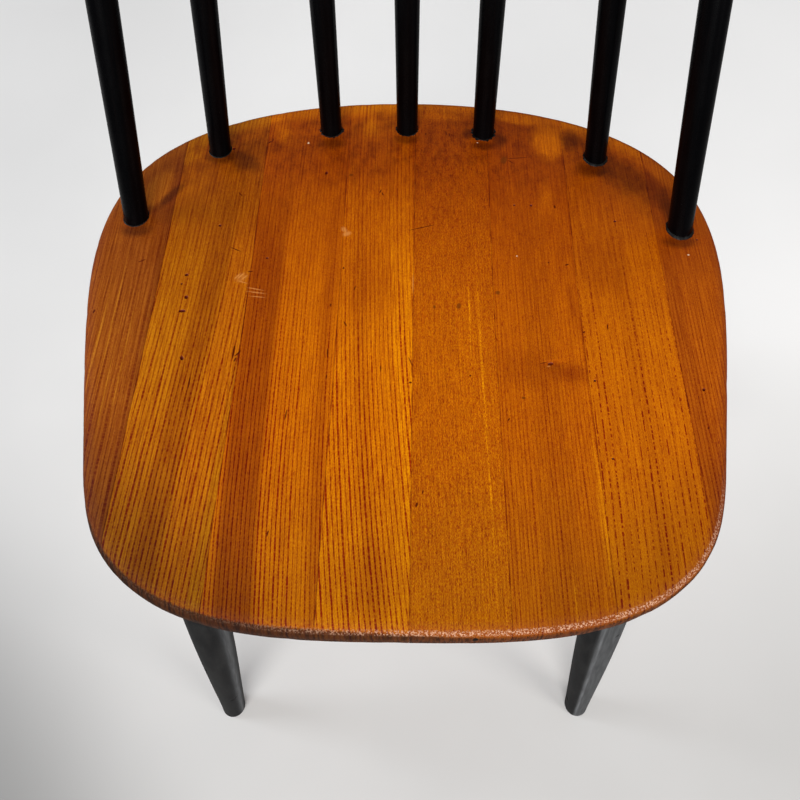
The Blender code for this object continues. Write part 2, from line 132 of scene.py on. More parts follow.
# %% A recipe book for node trees
class Recipe:
    """Writes one node tree. Each call adds a node and gives back its output socket."""

    def __init__(self, tree):
        self.tree = tree

    def feed(self, socket, value):
        if isinstance(value, bpy.types.NodeSocket):
            self.tree.links.new(value, socket)
        else:
            socket.default_value = value

    def add(self, kind, inputs=(), output=0, **settings):
        node = self.tree.nodes.new(kind)
        for name, value in settings.items():
            setattr(node, name, value)
        pairs = inputs.items() if isinstance(inputs, dict) else enumerate(inputs)
        for key, value in pairs:
            self.feed(node.inputs[key], value)
        return node.outputs[output]

    def maths(self, operation, *values):
        return self.add("ShaderNodeMath", values, operation=operation)

    def plus(self, first, second):
        return self.maths('ADD', first, second)

    def minus(self, first, second):
        return self.maths('SUBTRACT', first, second)

    def times(self, first, second):
        return self.maths('MULTIPLY', first, second)

    def over(self, first, second):
        return self.maths('DIVIDE', first, second)

    def mix(self, share, first, second, blend='MIX'):
        """Blend two colours by a share from 0 to 1."""
        inputs = {0: share, 6: first, 7: second}
        return self.add("ShaderNodeMix", inputs, 2, data_type='RGBA', blend_type=blend)

    def step(self, value, low, high, first=0.0, last=1.0):
        """A smooth step: first below low, last above high."""
        inputs = {0: value, 1: low, 2: high, 3: first, 4: last}
        return self.add("ShaderNodeMapRange", inputs, interpolation_type='SMOOTHSTEP')

    def stretch(self, place, scale):
        """The place with each axis multiplied, which makes a texture long or short along it."""
        return self.add("ShaderNodeVectorMath", (place, scale), operation='MULTIPLY')

    def noise(self, place, scale=1.0, detail=2.0, roughness=0.5):
        inputs = {"Vector": place, "Scale": scale, "Detail": detail, "Roughness": roughness}
        return self.add("ShaderNodeTexNoise", inputs)

    def vector(self, x, y, z):
        return self.add("ShaderNodeCombineXYZ", (x, y, z))

    def axes(self, place):
        """The x, y and z of a place."""
        node = self.tree.nodes.new("ShaderNodeSeparateXYZ")
        self.feed(node.inputs[0], place)
        return node.outputs

    def measured(self, name):
        """A number that was stored on the mesh's points."""
        return self.add("ShaderNodeAttribute", output="Fac", attribute_name=name)

    def own_place(self):
        """The place on a piece in its own frame, in millimetres, as fit_piece stored it."""
        return self.add("ShaderNodeAttribute", output="Vector", attribute_name="own_place")

    def room_place(self):
        """The place on a kept solid in the room, in millimetres."""
        metres = self.add("ShaderNodeTexCoord", output="Object")
        return self.add("ShaderNodeVectorMath", {0: metres, "Scale": 1000.0}, operation='SCALE')

    def group(self, group, **inputs):
        """Place a node group; gives back the node, whose outputs are read by name."""
        node = self.tree.nodes.new("ShaderNodeGroup")
        node.node_tree = group
        for name, value in inputs.items():
            self.feed(node.inputs[name.replace("_", " ").capitalize()], value)
        return node


def new_group(name, inputs, outputs):
    """A node group with named sockets; gives back the group, its recipe, its inputs and its outputs."""
    group = bpy.data.node_groups.new(name, 'ShaderNodeTree')
    for label, kind, value in inputs:
        socket = group.interface.new_socket(label, in_out='INPUT', socket_type=f"NodeSocket{kind}")
        socket.default_value = value
    for label, kind in outputs:
        group.interface.new_socket(label, in_out='OUTPUT', socket_type=f"NodeSocket{kind}")
    come_in = group.nodes.new("NodeGroupInput")
    go_out = group.nodes.new("NodeGroupOutput")
    return group, Recipe(group), come_in.outputs, go_out.inputs


def paint(red, green, blue):
    """A colour as seen on a screen, 0 to 255, turned into the linear light that shaders use."""
    def linear(value):
        share = value / 255
        return share / 12.92 if share <= 0.04045 else ((share + 0.055) / 1.055) ** 2.4
    return (linear(red), linear(green), linear(blue), 1.0)


def tint(red, green, blue):
    """Three shares that a colour is multiplied by."""
    return (red, green, blue, 1.0)


print("recipe book ready")

# %% [markdown]
# The floor is plain and pale. Its colour is a little uneven, as a painted floor is, and left of the
# chair a painted shade darkens it. What the camera sees past the floor's end is the world, which
# shows the same pale grey to the camera and is dimmer as a light. Behind the chair the floor glows a
# little, for the camera only, so that it stays pale there without any more light on the chair.

# %% Lay the floor and hang the surround
ROOM_SIZE = 14.0
FLOOR_COLOUR, FLOOR_CLOUD = paint(203, 202, 201), paint(197, 196, 195)
SURROUND_COLOUR, SURROUND_LIGHT = paint(232, 232, 232), 0.20
# A painted shade left of the chair. Where it runs out, in metres: across, behind, far off
PAINTED_FLOOR_SHADE, DIM_MOST, DIM_BEHIND = paint(20, 19, 18), 0.56, 0.25
DIM_ENDS_ACROSS, DIM_ENDS_BEHIND, DIM_ENDS_FAR = (-0.62, -0.36), (-0.25, 0.10), (0.9, 1.5)
# Where the glow of the floor behind the chair comes in, and how strong it is on the left
GLOW, GLOW_LEFT = 0.44, 0.6
GLOW_STARTS_BEHIND, GLOW_STARTS_LEFT, GLOW_STARTS_FAR = (-0.45, 0.35), (-0.6, 0.0), (1.1, 2.8)


def new_material(name):
    """An empty material; gives back the material, its recipe and its Principled node's inputs."""
    material = bpy.data.materials.new(name)
    material.use_nodes = True
    return material, Recipe(material.node_tree), material.node_tree.nodes["Principled BSDF"].inputs


def floor_finish():
    material, recipe, shader = new_material("pale_floor_paint")
    place = recipe.add("ShaderNodeTexCoord", output=3)
    x, y, _ = recipe.axes(place)
    distance = recipe.add("ShaderNodeVectorMath", (place,), 1, operation='LENGTH')
    cloud = recipe.step(recipe.noise(place, 3.0, 3.0), 0.3, 0.7)
    colour = recipe.mix(cloud, FLOOR_COLOUR, FLOOR_CLOUD)
    dim = recipe.step(recipe.plus(x, recipe.times(y, 0.6)), *DIM_ENDS_ACROSS, DIM_MOST, 0.0)
    dim = recipe.times(dim, recipe.step(y, *DIM_ENDS_BEHIND, 1.0, DIM_BEHIND))
    dim = recipe.times(dim, recipe.step(distance, *DIM_ENDS_FAR, 1.0, 0.0))
    recipe.feed(shader["Base Color"], recipe.mix(dim, colour, PAINTED_FLOOR_SHADE))
    shader["Roughness"].default_value = 0.55
    behind = recipe.times(recipe.step(y, *GLOW_STARTS_BEHIND),
                          recipe.step(x, *GLOW_STARTS_LEFT, GLOW_LEFT, 1.0))
    behind = recipe.maths('MAXIMUM', behind, recipe.step(distance, *GLOW_STARTS_FAR))
    seen = recipe.maths('MAXIMUM', recipe.add("ShaderNodeLightPath", output="Is Camera Ray"),
                        recipe.add("ShaderNodeLightPath", output="Is Transmission Ray"))
    recipe.feed(shader["Emission Strength"], recipe.times(recipe.times(seen, behind), GLOW))
    return material


def lay_floor():
    mesh = bpy.data.meshes.new("floor")
    half = ROOM_SIZE / 2
    corners = [(-half, -half, 0.0), (half, -half, 0.0), (half, half, 0.0), (-half, half, 0.0)]
    mesh.from_pydata(corners, [], [(0, 1, 2, 3)])
    mesh.materials.append(floor_finish())
    floor = bpy.data.objects.new("floor", mesh)
    bpy.context.scene.collection.objects.link(floor)


def hang_surround():
    world = bpy.data.worlds.new("studio_surround")
    bpy.context.scene.world = world
    world.use_nodes = True
    recipe = Recipe(world.node_tree)
    seen = recipe.add("ShaderNodeLightPath", output="Is Camera Ray")
    as_light = tint(SURROUND_LIGHT, SURROUND_LIGHT, SURROUND_LIGHT * 1.02)
    surround = recipe.mix(seen, as_light, SURROUND_COLOUR)
    recipe.feed(world.node_tree.nodes["Background"].inputs["Color"], surround)


lay_floor()
hang_surround()
print("floor", ROOM_SIZE, "m wide")

# %% [markdown]
# Most of the chair is turned or lofted: a stack of rings joined into one closed body. The same two
# helpers serve the legs, the spindles, the rail and the seat. A body gets smooth shading, with its
# true corners kept sharp by angle, and it rides on the frame's one body, "root".

# %% Bench tools: loft, turn, saw and finish
SHARP_ANGLE = math.radians(38)
# How many sides the turned solids of the frame have
SPINDLE_FACETS, SCREW_FACETS, LEG_FACETS = 12, 8, 16


def loft(rings):
    """A closed body through rings of points that all have the same count."""
    bm = bmesh.new()
    rows = [[bm.verts.new(point) for point in ring] for ring in rings]
    for lower, upper in zip(rows, rows[1:]):
        for i in range(len(lower)):
            j = (i + 1) % len(lower)
            bm.faces.new((lower[i], lower[j], upper[j], upper[i]))
    bm.faces.new(list(reversed(rows[0])))
    bm.faces.new(rows[-1])
    return bm


def turned(profile, sides):
    """A turned body from (radius, height) pairs, bottom to top."""
    angles = [2 * math.pi * i / sides for i in range(sides)]
    return loft([[Vector((radius * math.cos(a), radius * math.sin(a), height)) for a in angles]
                 for radius, height in profile])


def saw(bm, point, normal):
    """Saw a closed body along a plane, drop the normal's side and close the cut."""
    bmesh.ops.bisect_plane(bm, geom=bm.verts[:] + bm.edges[:] + bm.faces[:], dist=1e-7,
                           plane_co=point, plane_no=normal, clear_outer=True)
    bmesh.ops.contextual_create(bm, geom=[edge for edge in bm.edges if edge.is_boundary])


def shade(mesh):
    mesh.shade_smooth()
    mesh.set_sharp_from_angle(angle=SHARP_ANGLE)


def as_object(name, bm, matrix):
    """Turn a bmesh into an object at a place."""
    bmesh.ops.recalc_face_normals(bm, faces=bm.faces)
    mesh = bpy.data.meshes.new(name)
    bm.to_mesh(mesh)
    bm.free()
    shade(mesh)
    obj = bpy.data.objects.new(name, mesh)
    obj.matrix_world = matrix
    bpy.context.scene.collection.objects.link(obj)
    return obj


def cut_holes(obj, **cutter):
    """Cut an object, or every object of a collection, out of a piece."""
    holes = obj.modifiers.new("holes", 'BOOLEAN')
    holes.operation, holes.solver = 'DIFFERENCE', 'EXACT'
    for setting, value in cutter.items():
        setattr(holes, setting, value)
    bpy.context.view_layer.update()
    graph = bpy.context.evaluated_depsgraph_get()
    obj.data = bpy.data.meshes.new_from_object(obj.evaluated_get(graph))
    obj.modifiers.clear()


def store(mesh, name, values):
    """Store one number for each point of a mesh, for its finish to read."""
    attribute = mesh.attributes.new(name, 'FLOAT', 'POINT')
    attribute.data.foreach_set("value", np.array(values, np.float32))


def fit_piece(obj, material, slot, *nodes):
    """Store where each point lies in the piece's own frame, in millimetres, then set the piece in
    the room, give it its finish, hang it on the frame and let it stand for its solids."""
    mesh = obj.data
    places = np.array([vertex.co for vertex in mesh.vertices], np.float32) * 1000
    own = mesh.attributes.new("own_place", 'FLOAT_VECTOR', 'POINT')
    own.data.foreach_set("vector", places.ravel())
    mesh.transform(obj.matrix_world)
    obj.matrix_world = Matrix.Identity(4)
    mesh.materials.clear()
    mesh.materials.append(material)
    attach(obj, "root")
    if nodes:
        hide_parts(*nodes)
    return obj


def corners(node):
    """The corner points of a solid, each once."""
    points = np.array([vertex.co for vertex in solids[node].data.vertices])
    return np.unique(points.round(6), axis=0)


def centreline(node, sides):
    """The end points of a turned solid's centreline: the middles of its first and last rings."""
    points = corners(node)
    run = points[points[:, 2].argmax()] - points[points[:, 2].argmin()]
    order = np.argsort(points @ run)
    return Vector(points[order[:sides]].mean(0)), Vector(points[order[-sides:]].mean(0))


low, high = centreline("spindle_3", SPINDLE_FACETS)
print("middle spindle runs from", low, "to", high)

# %% [markdown]
# The seat's own plane tips back by two degrees. Its place, its width and its depth are read from
# the boards of the frame, so the boards made here can't drift from the solids they stand for.

# %% Find the seat's plane
SEAT_SLOPE = math.radians(2.0)
SEAT_THICKNESS = 0.021
BOARD_NAMES = sorted(name for name in solids if name.startswith("seat_board"))


def find_seat():
    """The seat's matrix, and its half width and half depth, from the solids of its boards."""
    level = np.array(Matrix.Rotation(SEAT_SLOPE, 3, 'X'))
    points = np.vstack([corners(name) for name in BOARD_NAMES]) @ level.T
    low, high = points.min(0), points.max(0)
    middle = Vector(((low[0] + high[0]) / 2, (low[1] + high[1]) / 2, high[2]))
    matrix = Matrix.Rotation(-SEAT_SLOPE, 4, 'X') @ Matrix.Translation(middle)
    return matrix, (high[0] - low[0]) / 2, (high[1] - low[1]) / 2


seat_frame, half_width, half_depth = find_seat()
to_seat = seat_frame.inverted()
print("seat", round(2000 * half_width, 1), "by", round(2000 * half_depth, 1), "mm")

# %% [markdown]
# The seat's outline is two side lines that open towards the back, joined by full round corners. One
# formula, a superellipse on tapered axes, draws all of it. Its points are spread evenly by walking
# along a finely drawn copy, so that no corner gets more facets than another.

# %% Draw the seat's outline
SIDE_LINE_HALF = 0.2081
SIDE_FLARE = math.radians(11.7)
SHOULDER_Y = -0.098
FRONT_FULLNESS = 3.2
BACK_FULLNESS_ALONG = 3.95
BACK_FULLNESS_ACROSS = 2.08
OUTLINE_POINTS = 288


def outline_point(angle):
    """A point of the edge before it is fitted. Angle 0 is the right side, pi / 2 the back."""
    along, across = math.sin(angle), math.cos(angle)
    reach, full_y, full_x = half_depth + SHOULDER_Y, FRONT_FULLNESS, FRONT_FULLNESS
    if along >= 0:
        reach, full_y, full_x = half_depth - SHOULDER_Y, BACK_FULLNESS_ALONG, BACK_FULLNESS_ACROSS
    y = SHOULDER_Y + reach * math.copysign(abs(along) ** (2 / full_y), along)
    side = SIDE_LINE_HALF + y * math.tan(SIDE_FLARE)
    return side * math.copysign(abs(across) ** (2 / full_x), across), y


def walk_outline(count, fine=6000):
    """Evenly spaced points of the edge, fitted to the solids' width, and the outward directions."""
    dense = np.array([outline_point(2 * math.pi * i / fine) for i in range(fine + 1)])
    dense[:, 0] *= half_width / dense[:, 0].max()
    travelled = np.concatenate([[0], np.cumsum(np.hypot(*np.diff(dense, axis=0).T))])
    wanted = np.linspace(0, travelled[-1], count, endpoint=False)
    points = np.stack([np.interp(wanted, travelled, dense[:, k]) for k in (0, 1)], 1)
    run = np.roll(points, -1, 0) - np.roll(points, 1, 0)
    outward = np.stack([run[:, 1], -run[:, 0]], 1) / np.hypot(*run.T)[:, None]
    return points, outward


edge_points, edge_outward = walk_outline(OUTLINE_POINTS)
print("outline of", len(edge_points), "points")

# %% [markdown]
# Years of use left marks in the seat: pits, short scratches, pale scuffs where something rubbed the
# varnish, and darker stains where hands and damp cloths pass between the spindles. A few marks are
# painted light: a sheen on two pale patches and along the right rim, a highlight on the knot's pit
# and a shade beside the knot. Each mark is a small ellipse in the seat's plane, in millimetres from
# the seat's middle: its kind, place, length, width and the turn of its length from the left-right
# axis. Pits and dents are cut into the mesh later, and every mark is coloured by the same node group.

# %% List the marks
MARKS = [
    # Dark pits in the ochre board and beside it
    ("pit", -145.3, 31.5, 2.6, 2.2, 30), ("pit", -147.5, 24.0, 1.7, 1.4, 90),
    ("pit", -143.0, 13.5, 2.9, 2.5, 100), ("pit", -144.0, 2.5, 4.9, 2.3, 3),
    ("pit", -138.8, -33.0, 3.6, 2.2, 115), ("pit", -128.5, 74.0, 2.2, 1.9, 0),
    ("pit", -93.8, 48.0, 1.8, 1.6, 0), ("pit", -127.3, 147.2, 2.6, 2.6, 0),
    ("pit", 116.5, -46.0, 1.7, 1.5, 0), ("pit", 120.5, -99.0, 1.6, 1.4, 0),
    ("pit", 180.8, -53.0, 2.4, 1.9, 60), ("pit", 197.5, 64.0, 1.6, 1.4, 0),
    ("pit", -58.0, 124.0, 3.2, 2.2, 80), ("pit", 144.0, 80.0, 2.2, 1.8, 0),
    ("pit", 87.5, 95.0, 2.0, 1.8, 0), ("pit", 75.8, 95.5, 1.6, 1.4, 0),
    # The small knot in the sixth board, with a crease beside it and a painted highlight on its pit's
    # rim
    ("pit", 91.0, -32.8, 3.6, 2.3, 8), ("dent", 92.0, -33.5, 17.0, 7.0, 8),
    ("scuff", 89.6, -34.6, 3.4, 1.4, 12), ("scratch", 86.5, -32.2, 5.0, 0.6, 12),
    # Scratches and short dashes
    ("scratch", 10.5, 76.6, 21.0, 0.8, 15), ("scratch", -115.5, 54.0, 9.5, 0.9, -24),
    ("scratch", -103.8, 36.2, 4.0, 1.1, 5), ("scratch", -117.5, 102.5, 5.5, 0.9, -50),
    ("scratch", -107.6, -27.0, 12.0, 1.5, 88), ("scratch", -104.8, -28.0, 6.5, 1.1, 52),
    ("scratch", -106.0, -32.5, 4.0, 1.1, 75), ("scratch", -176.5, 42.0, 6.0, 1.1, 28),
    ("scratch", -200.0, 0.5, 3.4, 1.6, 80), ("scratch", -131.5, -50.5, 10.0, 1.0, 89),
    ("scratch", -71.0, -71.0, 8.0, 0.8, 84), ("scratch", -74.0, -146.0, 4.0, 1.0, 80),
    ("scratch", -38.8, -2.5, 5.0, 1.0, 120), ("scratch", -33.8, 26.0, 4.5, 0.8, 80),
    ("scratch", -42.0, 42.0, 2.0, 1.4, 90), ("scratch", -15.0, -36.0, 5.0, 0.8, 92),
    ("scratch", -18.6, 108.0, 4.0, 1.1, 70), ("scratch", -17.0, 105.5, 3.6, 1.0, 115),
    ("scratch", -101.6, 154.0, 4.6, 1.3, 42), ("scratch", -99.6, 156.2, 3.6, 1.0, 80),
    ("scratch", 29.0, 165.0, 5.0, 1.0, 95), ("scratch", 31.4, 163.0, 4.0, 1.1, 82),
    ("scratch", 13.8, 163.7, 3.0, 1.0, 90), ("scratch", 80.5, 139.6, 17.0, 0.8, 5),
    ("scratch", 75.5, 135.8, 6.0, 0.8, -40), ("scratch", 103.8, 93.5, 3.4, 1.5, 95),
    ("scratch", 108.0, 43.8, 3.2, 1.3, 20), ("scratch", 129.0, -6.5, 5.0, 0.9, 88),
    ("scratch", 113.8, -10.0, 2.2, 1.2, 30), ("scratch", 40.8, -41.0, 1.7, 1.2, 0),
    ("scratch", 3.6, -30.5, 8.0, 0.7, 112), ("scratch", 3.6, -46.0, 2.0, 1.6, 0),
    ("scratch", 7.5, -128.0, 3.4, 1.5, 75), ("scratch", 11.0, -120.0, 3.0, 0.9, 80),
    ("scratch", 62.5, -72.5, 3.0, 0.9, 60), ("scratch", 96.0, 46.0, 1.4, 1.2, 0),
    ("scratch", -49.0, -25.0, 8.0, 0.9, 91), ("scratch", -49.0, 12.0, 3.0, 1.1, 90),
    ("scratch", -48.6, -43.0, 4.0, 0.8, 90), ("scratch", 178.8, -79.0, 2.0, 1.3, 70),
    # The black chip in the front edge
    ("chip", 38.0, -200.4, 3.6, 3.6, 0),
    # Soft brown smudges
    ("smudge", 35.0, 12.5, 6.0, 3.4, 80), ("smudge", 19.0, 11.7, 3.6, 2.4, 90),
    ("smudge", 61.0, 22.5, 4.2, 3.6, 90), ("smudge", 72.5, -57.5, 3.0, 2.6, 0),
    ("smudge", -40.0, 122.5, 4.0, 2.6, 10), ("smudge", 70.5, 137.5, 9.0, 5.5, 70),
    # A painted shade beside the knot's crease
    ("bruise", 103.0, -40.5, 34.0, 22.0, -10),
    # Pale scuffs and white specks
    ("bloom", -109.5, 31.0, 12.0, 9.0, 40), ("scuff", -112.0, 32.0, 8.0, 1.5, 52),
    ("scuff", -109.6, 32.6, 9.0, 1.7, 52),
    ("scuff", -107.4, 31.0, 8.0, 1.4, 50), ("scuff", -108.0, 27.4, 9.0, 1.2, -14),
    ("scuff", -99.4, 22.4, 15.0, 1.2, -9), ("scuff", -98.6, 19.6, 17.0, 1.4, -6),
    ("scuff", -97.0, 16.2, 14.0, 1.1, -3), ("scuff", 4.9, 30.0, 21.0, 1.1, 90),
    ("scuff", -43.0, 74.0, 5.0, 7.0, 40), ("scuff", -41.0, 70.5, 8.5, 5.0, 25),
    ("speck", -73.0, 153.5, 2.4, 1.6, 80), ("speck", 52.0, 155.0, 1.4, 1.2, 0),
    ("speck", 189.5, 50.7, 1.6, 1.2, 0), ("speck", 75.2, 52.0, 1.1, 1.0, 0),
    # Stains along the back, between and around the spindles
    ("stain", 158.0, 122.0, 98.0, 38.0, -42), ("stain", 186.0, 88.0, 50.0, 20.0, 112),
    ("stain", 122.0, 158.0, 22.0, 30.0, 10), ("stain", 68.0, 158.0, 18.0, 22.0, 0),
    ("stain", -120.0, 135.0, 42.0, 26.0, -35), ("stain", -166.0, 101.0, 42.0, 10.0, 60),
    ("stain", -56.0, 153.0, 30.0, 16.0, 0), ("stain", 0.0, 158.0, 28.0, 14.0, 0),
    ("stain", 46.0, 164.0, 16.0, 16.0, 0), ("stain", 57.0, 152.0, 26.0, 12.0, 0),
    ("stain", -185.0, 68.0, 30.0, 16.0, 0), ("stain", 134.0, 128.0, 36.0, 20.0, 0),
    ("stain", 186.0, 62.0, 32.0, 16.0, 0), ("stain", -137.0, 138.0, 28.0, 18.0, 0),
    # Pale streaks along the grain, and broad faint shade
    ("streak", 48.6, -60.0, 270.0, 2.2, 90.6), ("streak", 41.8, 0.0, 80.0, 1.6, 90),
    ("streak", 110.5, -130.0, 130.0, 5.5, 90), ("streak", 91.0, -182.0, 46.0, 1.8, 89),
    ("streak", -193.0, -18.0, 120.0, 2.4, 89), ("streak", -186.5, 0.0, 150.0, 1.8, 90),
    ("streak", -175.0, -40.0, 110.0, 2.2, 90), ("streak", -181.0, -62.0, 90.0, 1.6, 91),
    ("shade", 74.0, -36.0, 66.0, 46.0, 0), ("shade", -20.0, -172.0, 64.0, 54.0, 0),
    ("shade", -34.0, 136.0, 170.0, 76.0, 0), ("shade", 109.0, 12.0, 76.0, 13.0, 90),
    ("shade", 130.0, 40.0, 50.0, 90.0, 0), ("shade", -26.0, 30.0, 70.0, 110.0, 0),
    # Places that rubbing has left lighter. The two patches laid over the bared ones, and the rubbed
    # marks along the right rim, are a painted sheen
    ("bared", 104.0, 158.0, 50.0, 34.0, 88), ("bared", 84.0, 180.0, 50.0, 14.0, -12),
    ("faded", 104.0, 153.0, 34.0, 30.0, 88), ("rubbed_and_sheen", -27.0, 170.0, 18.0, 30.0, 0),
    ("rubbed_and_sheen", 98.0, 98.0, 44.0, 16.0, 90), ("rubbed_and_sheen", 182.0, 122.0, 46.0, 14.0, -52),
    ("bared", -177.0, 107.0, 66.0, 26.0, 68), ("faded", -176.0, 104.0, 54.0, 20.0, 68),
    ("rubbed_and_sheen", 26.0, 182.0, 44.0, 12.0, -4),
    ("rubbed_and_sheen", -196.0, 62.0, 22.0, 14.0, 70), ("rubbed_and_sheen", 198.0, 24.0, 34.0, 15.0, 88),
    ("rubbed_and_sheen", -92.0, 164.0, 18.0, 34.0, 12), ("rubbed_and_sheen", -181.0, 108.0, 40.0, 12.0, 60),
    ("rubbed_and_sheen", -158.0, 138.0, 24.0, 16.0, 50), ("rubbed_and_sheen", -98.0, 178.0, 20.0, 8.0, 18),
]
CUT_DEPTH = {"pit": 0.0007, "dent": 0.0005, "chip": 0.0012}
print(len(MARKS), "marks")

# %% [markdown]
# The top is saddled: flat around the rim and hollowed by eight millimetres in the middle. The blank
# is lofted from below: the bevel under the edge, the upright edge, the rounded arris and then ring
# after ring of the hollow. A hand never leaves an arris perfect, so a slow noise wears it back by a
# few tenths of a millimetre, always inwards.

# %% Shape the blank of the seat
ARRIS_RADIUS = 0.007
ARRIS_STEPS = 7
UNDER_BEVEL_WIDTH = 0.010
UNDER_BEVEL_HEIGHT = 0.0085
UNDER_BEVEL_BULGE = 0.0015
DISH_DEPTH = 0.008
DISH_SIDE_RIM, DISH_FRONT_RIM, DISH_BACK_RIM = 0.018, 0.034, 0.044
DISH_RINGS = 30
ARRIS_WEAR = 0.0004


def dish(x, y):
    """Height of the saddled top, zero around the rim and lowest in the middle."""
    front, back = DISH_FRONT_RIM - half_depth, half_depth - DISH_BACK_RIM
    across = x / (half_width - DISH_SIDE_RIM)
    along = (y - (front + back) / 2) / ((back - front) / 2)
    return -DISH_DEPTH * max(0.0, 1.0 - across ** 2 - along ** 2) ** 2


def seat_blank():
    """The whole seat before it is parted into boards, its rim's top face at height zero."""
    profile = [(UNDER_BEVEL_WIDTH, -SEAT_THICKNESS),
               (UNDER_BEVEL_WIDTH / 2 - UNDER_BEVEL_BULGE, -SEAT_THICKNESS + UNDER_BEVEL_HEIGHT / 2),
               (0.0, -SEAT_THICKNESS + UNDER_BEVEL_HEIGHT)]
    for i in range(ARRIS_STEPS + 1):
        angle = math.pi / 2 * i / ARRIS_STEPS
        profile.append((ARRIS_RADIUS * (1 - math.cos(angle)), ARRIS_RADIUS * (math.sin(angle) - 1)))
    rings = []
    for inset, height in profile:
        ring = []
        for (x, y), (out_x, out_y) in zip(edge_points, edge_outward):
            here = Vector((x, y, height))
            wear = ARRIS_WEAR * max(0.0, noise.noise(here * 90) + 0.5 * noise.noise(here * 400))
            depth = inset + wear
            ring.append((x - out_x * depth, y - out_y * depth, height))
        rings.append(ring)
    rim = edge_points - edge_outward * ARRIS_RADIUS
    for i in range(1, DISH_RINGS):
        share = 1 - i / DISH_RINGS
        rings.append([(x * share, y * share, dish(x * share, y * share)) for x, y in rim])
    return loft(rings)


blank_size = len(seat_blank().faces)
print("blank of", blank_size, "faces")

# %% [markdown]
# The spindles' sockets and the screws' holes are cut with a Boolean, because a drilled hole in a
# curved face is just what a Boolean is for. Each cutter is a turned rod that stands on the
# centreline of the solid that goes into the hole, so no hole can miss its spindle or its screw.

# %% Make the cutters for the holes
SOCKET_DEPTH = 0.014
FIT_GAP = 0.0003
SCREW_RADIUS = 0.0022
CUTTER_SIDES = 32
SPINDLE_NAMES = ["back_post_left", *(f"spindle_{i}" for i in range(1, 6)), "back_post_right"]
SCREW_NAMES = sorted(name for name in solids if "_screw_" in name)


def drilled(name, matrix, profile, collection):
    """A turned cutter for a hole in the wood."""
    cutter = as_object(name, turned(profile, CUTTER_SIDES), matrix)
    bpy.context.scene.collection.objects.unlink(cutter)
    collection.objects.link(cutter)
    return cutter


def lay_out_cutters(name):
    """A collection to hold cutters while they are in use."""
    collection = bpy.data.collections.new(name)
    bpy.context.scene.collection.children.link(collection)
    return collection


def clear_away(collection):
    for cutter in list(collection.objects):
        bpy.data.objects.remove(cutter)
    bpy.data.collections.remove(collection)


def make_cutters():
    """One cutter for each socket and each screw hole, from the centrelines of the solids."""
    collection = lay_out_cutters("holes_in_the_seat")
    for name in SPINDLE_NAMES:
        low, high = centreline(name, SPINDLE_FACETS)
        points = corners(name)
        radius = (Vector(points[(points @ np.array(high - low)).argmin()]) - low).length
        profile = [(radius + FIT_GAP, -FIT_GAP), (radius + FIT_GAP, 3 * SOCKET_DEPTH)]
        drilled(f"socket_{name}", aimed(low, high), profile, collection)
    for name in SCREW_NAMES:
        low, high = centreline(name, SCREW_FACETS)
        length = (high - low).length
        radius = SCREW_RADIUS + FIT_GAP
        drilled(f"hole_{name}", aimed(low, high),
                [(radius, length / 2), (radius, length + FIT_GAP)], collection)
    return collection


cutters = make_cutters()

# %% [markdown]
# Pits, dents and the chip are pressed into the mesh, so that they catch the light. Close to them the
# mesh is split finer, a few times over, and only there, so that a two-millimetre pit is round and
# the rest stays light.

# %% Tools that press marks into the wood
def mark_matrix(mark):
    """The place and turn of a mark in the seat's plane, in metres."""
    _, x, y, _, _, turn = mark
    turned_by = Matrix.Rotation(math.radians(turn), 4, 'Z')
    return Matrix.Translation((x / 1000, y / 1000, 0.0)) @ turned_by


def split_near(bm, mark, finest=0.00035):
    """Split the top's edges finer around a mark that is cut into the wood."""
    _, x, y, length, width, _ = mark
    middle = Vector((x / 1000, y / 1000))
    reach = length / 2000 * 1.5 + 0.001
    while True:
        near = [edge for edge in bm.edges if edge.verts[0].co.z > -ARRIS_RADIUS * 1.5
                and ((edge.verts[0].co.xy + edge.verts[1].co.xy) / 2 - middle).length
                < reach + edge.calc_length() / 2
                and edge.calc_length() > max(finest, width / 1000 / 6)]
        if not near:
            return
        bmesh.ops.subdivide_edges(bm, edges=near, cuts=1, use_grid_fill=True)


def cut_marks(mesh):
    """Press the pits and dents into a finished mesh, in the seat's plane."""
    points = np.array([vertex.co for vertex in mesh.vertices])
    on_top = points[:, 2] > -ARRIS_RADIUS * 1.6
    for mark in MARKS:
        kind, _, _, length, width, _ = mark
        if kind in CUT_DEPTH:
            to_mark = mark_matrix(mark).inverted()
            local = points @ np.array(to_mark)[:3, :3].T + np.array(to_mark.translation)
            inside = 1 - (local[:, 0] / (length / 2000)) ** 2 - (local[:, 1] / (width / 2000)) ** 2
            points[:, 2] -= CUT_DEPTH[kind] * np.where(on_top, np.clip(inside, 0, 1) ** 0.8, 0)
    mesh.vertices.foreach_set("co", points.astype(np.float32).ravel())


def measure_edge(mesh):
    """Store how far each vertex is from the seat's outline, in millimetres, for the finish to read."""
    points = np.array([vertex.co.xy for vertex in mesh.vertices])
    fine, _ = walk_outline(1200)
    nearest = [np.hypot(*(fine - point).T).min() for point in points]
    store(mesh, "from_edge", np.array(nearest, np.float32) * 1000)


print("pits and dents", sum(mark[0] in CUT_DEPTH for mark in MARKS))

# %% [markdown]
# The boards are cut out of copies of the blank along the same glue lines as the solids, with a
# hair's breadth left between them, as the glue leaves it. Their grain runs a third of a degree off
# the seat's middle line, so the saw is turned by as much.

# %% Part the blank into boards
GRAIN_TURN = math.radians(0.35)
JOINT_GAP = 0.00008


def board_sides(name):
    """The left and right glue lines of a board at the seat's middle, read from its solid."""
    turn_back = Matrix.Rotation(GRAIN_TURN, 4, 'Z') @ to_seat
    xs = [(turn_back @ Vector(point)).x for point in corners(name)]
    return min(xs), max(xs)


